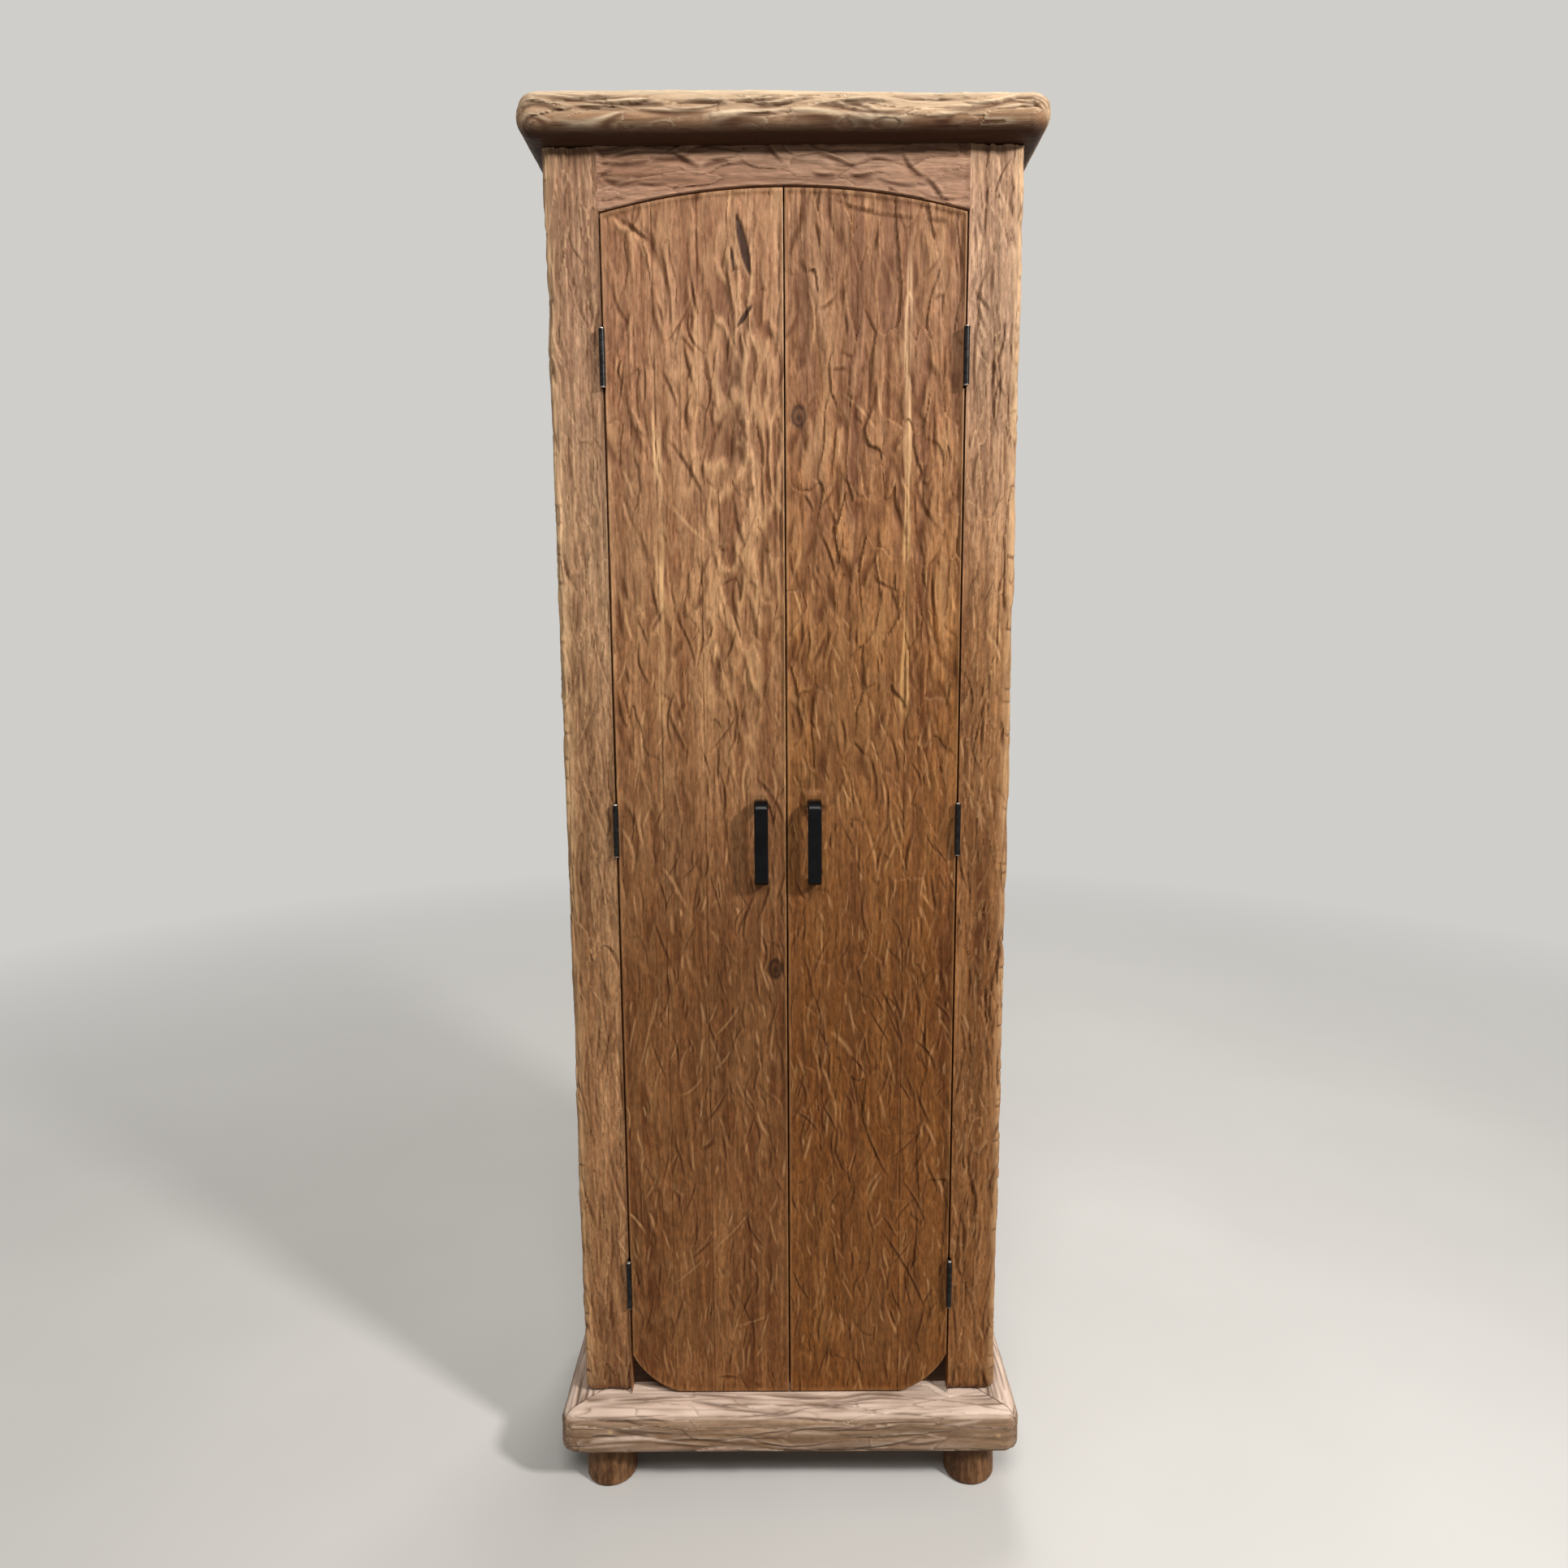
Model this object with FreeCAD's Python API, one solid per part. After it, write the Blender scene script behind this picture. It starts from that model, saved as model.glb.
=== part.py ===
"""Tall two-door cupboard of hewn teak, standing on round feet.

Millimetres, +Z up, the doors face -Y, origin on the floor under the middle of the cupboard.
A plinth of four boards stands on the feet. Two stiles, an arched top rail and a set-back bottom rail
make the front frame. Side panels, lapped back boards, a floor and a thick top slab close the case.
Each door is planks held by battens, swings on three butt hinges and stays shut on a magnet catch.
"""
import FreeCAD
import Part
import math
import os

V = FreeCAD.Vector
LEFT, RIGHT = -1, 1
SAME_PLACE = 0.0001
SIDES = {"left": LEFT, "right": RIGHT}

# Case
BODY_WIDTH = 608.0
BODY_DEPTH = 345.0
BODY_HEIGHT = 1714.0
STILE_WIDTH = 71.0
STILE_DEPTH = 50.0
STILE_EDGE_RADIUS = 11.0
SIDE_THICKNESS = 22.0
SIDE_TONGUE_THICKNESS = 8.0
SIDE_TONGUE_LENGTH = 8.0
BACK_THICKNESS = 12.0
BACK_REBATE_WIDTH = 10.0
BACK_BOARD_COUNT = 3
BACK_LAP = 10.0
FLOOR_THICKNESS = 20.0
DOWEL_RADIUS = 5.0
DOWEL_LENGTH = 40.0
DOWEL_INSET = 70.0
STILE_DOWEL_INSET = 17.0

# Top slab
SLAB_THICKNESS = 54.0
SLAB_SIDE_OVERHANG = 23.5
SLAB_FRONT_OVERHANG = 40.0
SLAB_CORNER_RADIUS = 28.0
SLAB_TOP_RADIUS = 25.0
SLAB_BOTTOM_RADIUS = 13.0

# Plinth and feet
PLINTH_THICKNESS = 65.0
PLINTH_SIDE_OVERHANG = 29.0
PLINTH_FRONT_OVERHANG = 45.0
PLINTH_BOARD_WIDTH = 90.0
PLINTH_CORNER_RADIUS = 24.0
PLINTH_TOP_RADIUS = 18.0
PLINTH_BOTTOM_RADIUS = 12.0
PLINTH_TENON_LENGTH = 20.0
PLINTH_TENON_THICKNESS = 18.0
PLINTH_TENON_SHOULDER = 12.0
PLINTH_TENON_WALL = 6.0
FOOT_HEIGHT = 75.0
FOOT_TOP_RADIUS = 36.5
FOOT_BASE_RADIUS = 38.5
FOOT_EDGE_RADIUS = 8.0
FOOT_INSET = 64.0
FOOT_TENON_RADIUS = 15.0
FOOT_TENON_LENGTH = 30.0

# Front frame
ARCH_RISE = 30.0
RAIL_END_HEIGHT = 77.0
RAIL_THICKNESS = 24.0
BOTTOM_RAIL_HEIGHT = 75.0
TOP_STOP_DROP = 12.0
TENON_LENGTH = 30.0
TENON_THICKNESS = 10.0
TENON_SHOULDER = 12.0
TENON_END_CLEARANCE = 0.5

# Doors
DOOR_THICKNESS = 24.0
DOOR_SIDE_GAP = 2.4
DOOR_MEETING_GAP = 2.0
DOOR_TOP_GAP = 2.5
DOOR_BOTTOM_GAP = 2.5
DOOR_STOP_GAP = 1.5
DOOR_CORNER_WIDTH = 66.0
DOOR_CORNER_HEIGHT = 60.0
DOOR_CORNER_BOW = 9.0
MEETING_EDGE_BEVEL = 1.6
PLANK_WIDTHS = {"left": (63.0, 57.0), "right": (72.0,)}
PLANK_TONGUE_THICKNESS = 8.0
PLANK_TONGUE_LENGTH = 6.0
PLANK_TONGUE_CLEARANCE = 0.2
BATTEN_HEIGHT = 70.0
BATTEN_THICKNESS = 16.0
BATTEN_END_MARGIN = 18.0
BATTEN_INSET = 120.0
BATTEN_EDGE_CHAMFER = 4.0

# Butt hinges
HINGE_LENGTH = 70.0
HINGE_TOP_INSET = 175.5
HINGE_BOTTOM_INSET = 175.0
HINGE_MIDDLE_RISE = 28.5
LEAF_WIDTH = 20.0
LEAF_THICKNESS = 1.5
LEAF_FIT_CLEARANCE = 0.1
BARREL_RADIUS = 3.8
BARREL_STANDOFF = 0.8
BARREL_CLEARANCE = 0.35
KNUCKLE_COUNT = 5
KNUCKLE_GAP = 0.35
PIN_RADIUS = 2.0
PIN_CLEARANCE = 0.06
PIN_HEAD_RADIUS = 3.0
PIN_HEAD_HEIGHT = 1.8
PIN_HEAD_DOME = 1.2
HINGE_SCREW_RADIUS = 1.75
HINGE_SCREW_LENGTH = 18.0
HINGE_SCREW_PITCH = 24.0
HINGE_SCREW_COUNT = 3
HOLE_CLEARANCE = 0.05

# Handles and catches
HANDLE_LENGTH = 116.0
HANDLE_WIDTH = 18.5
HANDLE_BAR_THICKNESS = 7.0
HANDLE_PROJECTION = 26.0
HANDLE_BEND_RADIUS = 14.0
HANDLE_EDGE_RADIUS = 2.4
HANDLE_FROM_CENTRE = 36.0
HANDLE_SHIFT_RIGHT = 1.6
HANDLE_RISE = 12.0
HANDLE_SCREW_RADIUS = 2.0
HANDLE_SCREW_END_WALL = 2.0
HANDLE_SCREW_HEAD_RADIUS = 4.0
HANDLE_SCREW_HEAD_HEIGHT = 2.4
CATCH_LENGTH = 44.0
CATCH_HEIGHT = 16.0
CATCH_FROM_CENTRE = 62.0
CATCH_EDGE_RADIUS = 2.0
STRIKE_LENGTH = 36.0
STRIKE_HEIGHT = 14.0
STRIKE_THICKNESS = 1.1

# Shelves
SHELF_COUNT = 4
SHELF_THICKNESS = 20.0
SHELF_SIDE_CLEARANCE = 1.0
SHELF_BACK_CLEARANCE = 0.5
SHELF_SETBACK = 8.0
SHELF_EDGE_RADIUS = 4.0
CLEAT_HEIGHT = 20.0
CLEAT_THICKNESS = 18.0
CLEAT_FRONT_INSET = 14.0

# Levels, from the floor up
plinth_bottom = FOOT_HEIGHT
plinth_top = plinth_bottom + PLINTH_THICKNESS
slab_bottom = plinth_top + BODY_HEIGHT
slab_top = slab_bottom + SLAB_THICKNESS
floor_top = plinth_top + FLOOR_THICKNESS
arch_spring = slab_bottom - RAIL_END_HEIGHT
arch_crown = arch_spring + ARCH_RISE
door_bottom = plinth_top + DOOR_BOTTOM_GAP
door_middle = (door_bottom + arch_spring) / 2

# Planes from side to side
body_half = BODY_WIDTH / 2
opening_half = body_half - STILE_WIDTH
inside_half = body_half - SIDE_THICKNESS
slab_half = body_half + SLAB_SIDE_OVERHANG
plinth_half = body_half + PLINTH_SIDE_OVERHANG
well_half = plinth_half - PLINTH_BOARD_WIDTH
door_outer = opening_half - DOOR_SIDE_GAP
door_inner = DOOR_MEETING_GAP / 2
hinge_x = opening_half - DOOR_SIDE_GAP / 2
foot_x = plinth_half - FOOT_INSET

# Planes from front to back
front_reach = max(PLINTH_FRONT_OVERHANG, SLAB_FRONT_OVERHANG)
face = front_reach - (BODY_DEPTH + front_reach) / 2
rear = face + BODY_DEPTH
slab_front = face - SLAB_FRONT_OVERHANG
plinth_front = face - PLINTH_FRONT_OVERHANG
stile_rear = face + STILE_DEPTH
door_rear = face + DOOR_THICKNESS
stop_front = door_rear + DOOR_STOP_GAP
back_front = rear - BACK_THICKNESS
hinge_y = face - BARREL_RADIUS - BARREL_STANDOFF
shelf_front = stile_rear + SHELF_SETBACK
foot_rows = {"front": plinth_front + FOOT_INSET, "rear": rear - FOOT_INSET}

# The arch is one circle through both springing points and the crown
arch_radius = (opening_half ** 2 + ARCH_RISE ** 2) / (2 * ARCH_RISE)
arch_centre_z = arch_crown - arch_radius
door_top_radius = arch_radius - DOOR_TOP_GAP

hinge_levels = {
    "top": arch_spring - HINGE_TOP_INSET,
    "middle": door_middle + HINGE_MIDDLE_RISE,
    "bottom": door_bottom + HINGE_BOTTOM_INSET,
}
handle_level = door_middle + HANDLE_RISE
handle_middle = {side: side * HANDLE_FROM_CENTRE + HANDLE_SHIFT_RIGHT for side in (LEFT, RIGHT)}
handle_screw_depth = HANDLE_PROJECTION - HANDLE_BEND_RADIUS - HANDLE_SCREW_END_WALL
handle_screw_levels = [
    handle_level + end * (HANDLE_LENGTH - HANDLE_BAR_THICKNESS) / 2 for end in (-1, 1)
]
batten_levels = {
    "lower": door_bottom + BATTEN_INSET,
    "upper": arch_spring - BATTEN_INSET,
}
top_stop_bottom = arch_spring - TOP_STOP_DROP
shelf_pitch = (slab_bottom - floor_top - SHELF_COUNT * SHELF_THICKNESS) / (SHELF_COUNT + 1)


# Small helpers
def block(xs, ys, zs):
    """A box between pairs of planes given in any order."""
    (x0, x1), (y0, y1), (z0, z1) = (sorted(pair) for pair in (xs, ys, zs))
    return Part.makeBox(x1 - x0, y1 - y0, z1 - z0, V(x0, y0, z0))


def prism(edges, direction):
    """A solid pushed out of a flat closed outline."""
    return Part.Face(Part.Wire(edges)).extrude(direction)


def line(start, end):
    return Part.LineSegment(start, end).toShape()


def arc(start, through, end):
    return Part.Arc(start, through, end).toShape()


def circle_top(radius, x):
    """Height of the arch circle of that radius above a place across the front."""
    return arch_centre_z + math.sqrt(radius ** 2 - x ** 2)


def rounded(shape, radius, keep):
    """Fillets the edges that keep() picks out by their bounding box."""
    return shape.makeFillet(radius, [edge for edge in shape.Edges if keep(edge.BoundBox)])


def near(a, b):
    return abs(a - b) < SAME_PLACE


def save(name, *solids):
    """Writes one node, as one solid or as a group of separate solids."""
    shape = solids[0] if len(solids) == 1 else Part.makeCompound(list(solids))
    shape.exportStep(f"parts/{name}.step")


# Plinth and feet
def soften_board(board, front, top, bottom, corner, high, low):
    """Rounds a board's front corners, then its upper and lower edges, leaving its rear edges square."""
    back = board.BoundBox.YMax
    board = rounded(board, corner, lambda b: near(b.YMax, front) and b.ZLength > b.XLength)
    board = rounded(board, top, lambda b: near(b.ZMin, high) and not near(b.YMin, back))
    return rounded(board, bottom, lambda b: near(b.ZMax, low) and not near(b.YMin, back))


def rear_tenon(side, length):
    """A tenon of the plinth's back board, or if longer its mortise, behind the foot's tenon."""
    inner = side * well_half
    front = foot_rows["rear"] + FOOT_TENON_RADIUS + PLINTH_TENON_WALL
    middle = (plinth_bottom + plinth_top) / 2
    half = PLINTH_TENON_THICKNESS / 2
    ys = (front, rear - PLINTH_TENON_SHOULDER)
    return block((inner, inner + side * length), ys, (middle - half, middle + half))


def foot_socket(side, row):
    depth = FOOT_TENON_LENGTH + TENON_END_CLEARANCE
    place = V(side * foot_x, foot_rows[row], plinth_bottom)
    return Part.makeCylinder(FOOT_TENON_RADIUS + HOLE_CLEARANCE, depth, place)


def plinth_ring():
    """The plinth in one, rounded outside, before it is parted at the mitres."""
    ring = block((-plinth_half, plinth_half), (plinth_front, rear), (plinth_bottom, plinth_top))
    ring = soften_board(
        ring, plinth_front, PLINTH_TOP_RADIUS, PLINTH_BOTTOM_RADIUS,
        PLINTH_CORNER_RADIUS, plinth_top, plinth_bottom,
    )
    well_front = plinth_front + PLINTH_BOARD_WIDTH
    well = block((-well_half, well_half), (well_front, rear), (plinth_bottom, plinth_top))
    return ring.cut(well)


def plan_prism(corners):
    """A plinth-high prism over a plan outline given as (x, y) corners."""
    points = [V(x, y, plinth_bottom) for x, y in corners]
    edges = [line(points[i - 1], points[i]) for i in range(len(points))]
    return prism(edges, V(0, 0, PLINTH_THICKNESS))


def make_plinth():
    """Front and side boards mitred over the front feet, and a back board tenoned between the sides."""
    ring = plinth_ring()
    mitre_end = plinth_front + PLINTH_BOARD_WIDTH
    front = ring.common(plan_prism([
        (-plinth_half, plinth_front), (plinth_half, plinth_front),
        (well_half, mitre_end), (-well_half, mitre_end),
    ]))
    back = block((-well_half, well_half), (rear - PLINTH_BOARD_WIDTH, rear), (plinth_bottom, plinth_top))
    for name, side in SIDES.items():
        front = front.cut(foot_socket(side, "front"))
        back = back.fuse(rear_tenon(side, PLINTH_TENON_LENGTH)).removeSplitter()
        board = ring.common(plan_prism([
            (side * plinth_half, plinth_front), (side * well_half, mitre_end),
            (side * well_half, rear), (side * plinth_half, rear),
        ]))
        tools = [foot_socket(side, "front"), foot_socket(side, "rear")]
        tools.append(rear_tenon(side, PLINTH_TENON_LENGTH + TENON_END_CLEARANCE))
        tools += dowels(side, plinth_top, HOLE_CLEARANCE)
        for tool in tools:
            board = board.cut(tool)
        save(f"plinth_{name}", *board.Solids)
    save("plinth_front", *front.Solids)
    save("plinth_back", back)


def make_feet():
    for row, y in foot_rows.items():
        for name, side in SIDES.items():
            place = V(side * foot_x, y, 0)
            foot = Part.makeCone(FOOT_BASE_RADIUS, FOOT_TOP_RADIUS, FOOT_HEIGHT, place)
            foot = rounded(
                foot, FOOT_EDGE_RADIUS,
                lambda b: near(b.ZMax, 0) and b.XLength > FOOT_BASE_RADIUS,
            )
            tenon_base = place + V(0, 0, FOOT_HEIGHT)
            tenon = Part.makeCylinder(FOOT_TENON_RADIUS, FOOT_TENON_LENGTH, tenon_base)
            save(f"foot_{row}_{name}", foot.fuse(tenon))


# Dowels between the case, the plinth and the slab
def dowels(side, level, extra):
    """Dowels across one joint of a side panel and its stile, or with extra the holes that take them."""
    places = [
        (body_half - SIDE_THICKNESS / 2, stile_rear + DOWEL_INSET),
        (body_half - SIDE_THICKNESS / 2, back_front - DOWEL_INSET),
    ]
    if level == slab_bottom:
        places.append((body_half - STILE_DOWEL_INSET, (face + stile_rear) / 2))
    half = DOWEL_LENGTH / 2 + (TENON_END_CLEARANCE if extra else 0.0)
    return [
        Part.makeCylinder(DOWEL_RADIUS + extra, 2 * half, V(side * x, y, level - half))
        for x, y in places
    ]


def make_dowels():
    group = []
    for side in SIDES.values():
        group += dowels(side, plinth_top, 0.0) + dowels(side, slab_bottom, 0.0)
    save("case_dowels", *group)


# Top slab
def make_slab():
    slab = block((-slab_half, slab_half), (slab_front, rear), (slab_bottom, slab_top))
    slab = soften_board(
        slab, slab_front, SLAB_TOP_RADIUS, SLAB_BOTTOM_RADIUS, SLAB_CORNER_RADIUS, slab_top, slab_bottom
    )
    for side in SIDES.values():
        for hole in dowels(side, slab_bottom, HOLE_CLEARANCE):
            slab = slab.cut(hole)
    save("top_slab", slab)


# Front frame
def rail_tenon(side, front, thickness, low, high, length):
    """A tenon, or with a longer length its mortise, in the middle of a rail's thickness."""
    middle = front + thickness / 2
    half = TENON_THICKNESS / 2
    xs = (side * opening_half, side * (opening_half + length))
    return block(xs, (middle - half, middle + half), (low + TENON_SHOULDER, high - TENON_SHOULDER))


def top_rail_tenon(side, length):
    return rail_tenon(side, face, RAIL_THICKNESS, arch_spring, slab_bottom, length)


def bottom_rail_tenon(side, length):
    thickness = stile_rear - stop_front
    return rail_tenon(side, stop_front, thickness, plinth_top, plinth_top + BOTTOM_RAIL_HEIGHT, length)


def side_tongue(side, length):
    middle = side * (body_half - SIDE_THICKNESS / 2)
    half = SIDE_TONGUE_THICKNESS / 2
    ys = (stile_rear - length, stile_rear)
    return block((middle - half, middle + half), ys, (plinth_top, slab_bottom))


def make_stile(name, side):
    stile = block((side * body_half, side * opening_half), (face, stile_rear), (plinth_top, slab_bottom))
    stile = rounded(
        stile, STILE_EDGE_RADIUS,
        lambda b: near(b.YMax, face) and near(b.Center.x, side * body_half),
    )
    mortise = TENON_LENGTH + TENON_END_CLEARANCE
    stile = stile.cut(top_rail_tenon(side, mortise)).cut(bottom_rail_tenon(side, mortise))
    stile = stile.cut(side_tongue(side, SIDE_TONGUE_LENGTH + TENON_END_CLEARANCE))
    for hole in dowels(side, slab_bottom, HOLE_CLEARANCE):
        stile = stile.cut(hole)
    for level in hinge_levels.values():
        stile = stile.cut(leaf_recess(side, level, side))
        for pilot in hinge_screws(side, level, side, HOLE_CLEARANCE):
            stile = stile.cut(pilot)
    save(f"front_stile_{name}", stile)


def make_top_rail():
    low_left = V(-opening_half, face, arch_spring)
    low_right = V(opening_half, face, arch_spring)
    high_left = V(-opening_half, face, slab_bottom)
    high_right = V(opening_half, face, slab_bottom)
    outline = [
        arc(low_left, V(0, face, arch_crown), low_right),
        line(low_right, high_right),
        line(high_right, high_left),
        line(high_left, low_left),
    ]
    rail = prism(outline, V(0, RAIL_THICKNESS, 0))
    for side in SIDES.values():
        rail = rail.fuse(top_rail_tenon(side, TENON_LENGTH))
    save("top_rail", rail)


def make_stops():
    """The set-back bottom rail, and the strip behind the top rail, that the doors close against."""
    xs = (-opening_half, opening_half)
    bottom = block(xs, (stop_front, stile_rear), (plinth_top, plinth_top + BOTTOM_RAIL_HEIGHT))
    for side in SIDES.values():
        bottom = bottom.fuse(bottom_rail_tenon(side, TENON_LENGTH))
    save("bottom_rail", bottom)
    rail_rear = face + RAIL_THICKNESS
    top = block(xs, (rail_rear, stile_rear), (top_stop_bottom, slab_bottom))
    door_room = block(xs, (rail_rear, stop_front), (top_stop_bottom, arch_crown))
    save("top_stop", top.cut(door_room))


# Case
def make_sides():
    for name, side in SIDES.items():
        xs = (side * body_half, side * inside_half)
        panel = block(xs, (stile_rear, rear), (plinth_top, slab_bottom))
        panel = panel.fuse(side_tongue(side, SIDE_TONGUE_LENGTH)).removeSplitter()
        rebate = block(
            (side * inside_half, side * (inside_half + BACK_REBATE_WIDTH)),
            (back_front, rear),
            (plinth_top, slab_bottom),
        )
        panel = panel.cut(rebate)
        for level in (plinth_top, slab_bottom):
            for hole in dowels(side, level, HOLE_CLEARANCE):
                panel = panel.cut(hole)
        save(f"side_panel_{name}", panel)


def make_back_boards():
    """Boards lapped half over half, the lap's outer tongue always on the right edge."""
    reach = inside_half + BACK_REBATE_WIDTH
    width = 2 * reach / BACK_BOARD_COUNT
    middle = (back_front + rear) / 2
    zs = (plinth_top, slab_bottom)
    for number in range(BACK_BOARD_COUNT):
        x0 = -reach + number * width
        x1 = x0 + width
        board = block((x0, x1), (back_front, rear), zs)
        if number > 0:
            board = board.cut(block((x0, x0 + BACK_LAP), (middle, rear), zs))
        if number < BACK_BOARD_COUNT - 1:
            board = board.fuse(block((x1, x1 + BACK_LAP), (middle, rear), zs)).removeSplitter()
        save(f"back_board_{number + 1}", board)


def make_floor():
    xs = (-inside_half, inside_half)
    save("floor_panel", block(xs, (stile_rear, back_front), (plinth_top, floor_top)))


def make_shelves():
    half = inside_half - SHELF_SIDE_CLEARANCE
    shelf_rear = back_front - SHELF_BACK_CLEARANCE
    cleats = []
    for number in range(SHELF_COUNT):
        low = floor_top + shelf_pitch + number * (shelf_pitch + SHELF_THICKNESS)
        shelf = block((-half, half), (shelf_front, shelf_rear), (low, low + SHELF_THICKNESS))
        shelf = rounded(
            shelf, SHELF_EDGE_RADIUS,
            lambda b: near(b.YMax, shelf_front) and near(b.XLength, 2 * half),
        )
        save(f"shelf_{number + 1}", shelf)
        for side in SIDES.values():
            cleats.append(block(
                (side * inside_half, side * (inside_half - CLEAT_THICKNESS)),
                (shelf_front + CLEAT_FRONT_INSET, shelf_rear),
                (low - CLEAT_HEIGHT, low),
            ))
    save("shelf_cleats", *cleats)


# Hinges
def leaf_span(side, toward, extra=0.0):
    """Planes of a leaf across the gap; toward is the way from the pin to the wood it is let into."""
    near_face = side * hinge_x + toward * DOOR_SIDE_GAP / 2
    return near_face, near_face + toward * (LEAF_THICKNESS + extra)


def leaf_recess(side, level, toward):
    half = HINGE_LENGTH / 2 + LEAF_FIT_CLEARANCE
    ys = (face - BARREL_RADIUS, face + LEAF_WIDTH + LEAF_FIT_CLEARANCE)
    return block(leaf_span(side, toward), ys, (level - half, level + half))


def hinge_screws(side, level, toward, extra):
    """Countersunk screws of one leaf, or with extra the holes that take them."""
    start, leaf_back = leaf_span(side, toward)
    axis = V(toward, 0, 0)
    y = face + LEAF_WIDTH / 2
    radius = HINGE_SCREW_RADIUS + extra
    screws = []
    for number in range(HINGE_SCREW_COUNT):
        z = level + (number - (HINGE_SCREW_COUNT - 1) / 2) * HINGE_SCREW_PITCH
        head = Part.makeCone(radius + LEAF_THICKNESS, radius, LEAF_THICKNESS, V(start, y, z), axis)
        shank_length = HINGE_SCREW_LENGTH - LEAF_THICKNESS + extra
        tip_length = 2 * HINGE_SCREW_RADIUS
        shank = Part.makeCylinder(radius, shank_length - tip_length, V(leaf_back, y, z), axis)
        tip_start = V(leaf_back + toward * (shank_length - tip_length), y, z)
        tip = Part.makeCone(radius, extra, tip_length, tip_start, axis)
        screws.append(head.fuse(shank).fuse(tip))
    return screws


def barrel(side, low, high, radius):
    return Part.makeCylinder(radius, high - low, V(side * hinge_x, hinge_y, low))


def make_leaf(name, side, level, toward, first_knuckle):
    """One leaf with every second knuckle; the other leaf's knuckles get clearance."""
    low = level - HINGE_LENGTH / 2
    pitch = HINGE_LENGTH / KNUCKLE_COUNT
    zs = (low, low + HINGE_LENGTH)
    leaf = block(leaf_span(side, toward), (hinge_y, face + LEAF_WIDTH), zs)
    for number in range(KNUCKLE_COUNT):
        z0 = low + number * pitch
        if number % 2 == first_knuckle:
            continue
        leaf = leaf.cut(barrel(side, z0, z0 + pitch, BARREL_RADIUS + BARREL_CLEARANCE))
    for number in range(first_knuckle, KNUCKLE_COUNT, 2):
        z0 = low + number * pitch
        z1 = z0 + pitch
        trim_low = KNUCKLE_GAP / 2 if number > 0 else 0.0
        trim_high = KNUCKLE_GAP / 2 if number < KNUCKLE_COUNT - 1 else 0.0
        leaf = leaf.fuse(barrel(side, z0 + trim_low, z1 - trim_high, BARREL_RADIUS))
    leaf = leaf.cut(barrel(side, *zs, PIN_RADIUS + PIN_CLEARANCE))
    for hole in hinge_screws(side, level, toward, HOLE_CLEARANCE):
        leaf = leaf.cut(hole)
    save(name, leaf)


def make_pin(side, level):
    low = level - HINGE_LENGTH / 2
    high = level + HINGE_LENGTH / 2
    pin = barrel(side, low, high, PIN_RADIUS)
    upper = rounded(
        barrel(side, high, high + PIN_HEAD_HEIGHT, PIN_HEAD_RADIUS), PIN_HEAD_DOME,
        lambda b: near(b.ZMin, high + PIN_HEAD_HEIGHT),
    )
    lower = rounded(
        barrel(side, low - PIN_HEAD_HEIGHT, low, PIN_HEAD_RADIUS), PIN_HEAD_DOME,
        lambda b: near(b.ZMax, low - PIN_HEAD_HEIGHT),
    )
    return pin.fuse(upper).fuse(lower)


def make_hinges():
    frame_screws = []
    for name, side in SIDES.items():
        pins = []
        door_screws = []
        for place, level in hinge_levels.items():
            make_leaf(f"hinge_{place}_{name}_frame_leaf", side, level, side, 0)
            make_leaf(f"hinge_{place}_{name}_door_leaf", side, level, -side, 1)
            pins.append(make_pin(side, level))
            frame_screws += hinge_screws(side, level, side, 0.0)
            door_screws += hinge_screws(side, level, -side, 0.0)
        save(f"hinge_pins_{name}", *pins)
        save(f"hinge_screws_door_{name}", *door_screws)
    save("hinge_screws_frame", *frame_screws)


# Doors
def door_slab(side):
    """A whole door: arched top, lower outer corner cut off in a bow, meeting edge eased towards the back."""
    def at(x, z):
        return V(side * x, face, z)

    low = door_bottom
    corner_chord = math.hypot(DOOR_CORNER_WIDTH, DOOR_CORNER_HEIGHT)
    corner_in = DOOR_CORNER_WIDTH / 2 - DOOR_CORNER_BOW * DOOR_CORNER_HEIGHT / corner_chord
    corner_up = DOOR_CORNER_HEIGHT / 2 - DOOR_CORNER_BOW * DOOR_CORNER_WIDTH / corner_chord
    corner_foot = at(door_outer - DOOR_CORNER_WIDTH, low)
    corner_side = at(door_outer, low + DOOR_CORNER_HEIGHT)
    middle = (door_outer + door_inner) / 2
    outer_top = at(door_outer, circle_top(door_top_radius, door_outer))
    inner_top = at(door_inner, circle_top(door_top_radius, door_inner))
    outline = [
        line(at(door_inner, low), corner_foot),
        arc(corner_foot, at(door_outer - corner_in, low + corner_up), corner_side),
        line(corner_side, outer_top),
        arc(outer_top, at(middle, circle_top(door_top_radius, middle)), inner_top),
        line(inner_top, at(door_inner, low)),
    ]
    slab = prism(outline, V(0, DOOR_THICKNESS, 0))
    front = V(side * door_inner, face, low)
    back = V(side * door_inner, door_rear, low)
    eased = V(side * (door_inner + MEETING_EDGE_BEVEL), door_rear, low)
    wedge_edges = [line(front, back), line(back, eased), line(eased, front)]
    return slab.cut(prism(wedge_edges, V(0, 0, arch_crown - low)))


def plank_tongue(side, x, clearance):
    """The tongue on a plank's inner edge, or with clearance the groove in the next plank."""
    middle = (face + door_rear) / 2
    half = PLANK_TONGUE_THICKNESS / 2
    xs = (side * x, side * (x - PLANK_TONGUE_LENGTH - clearance))
    return block(xs, (middle - half, middle + half), (door_bottom, arch_crown))


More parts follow.
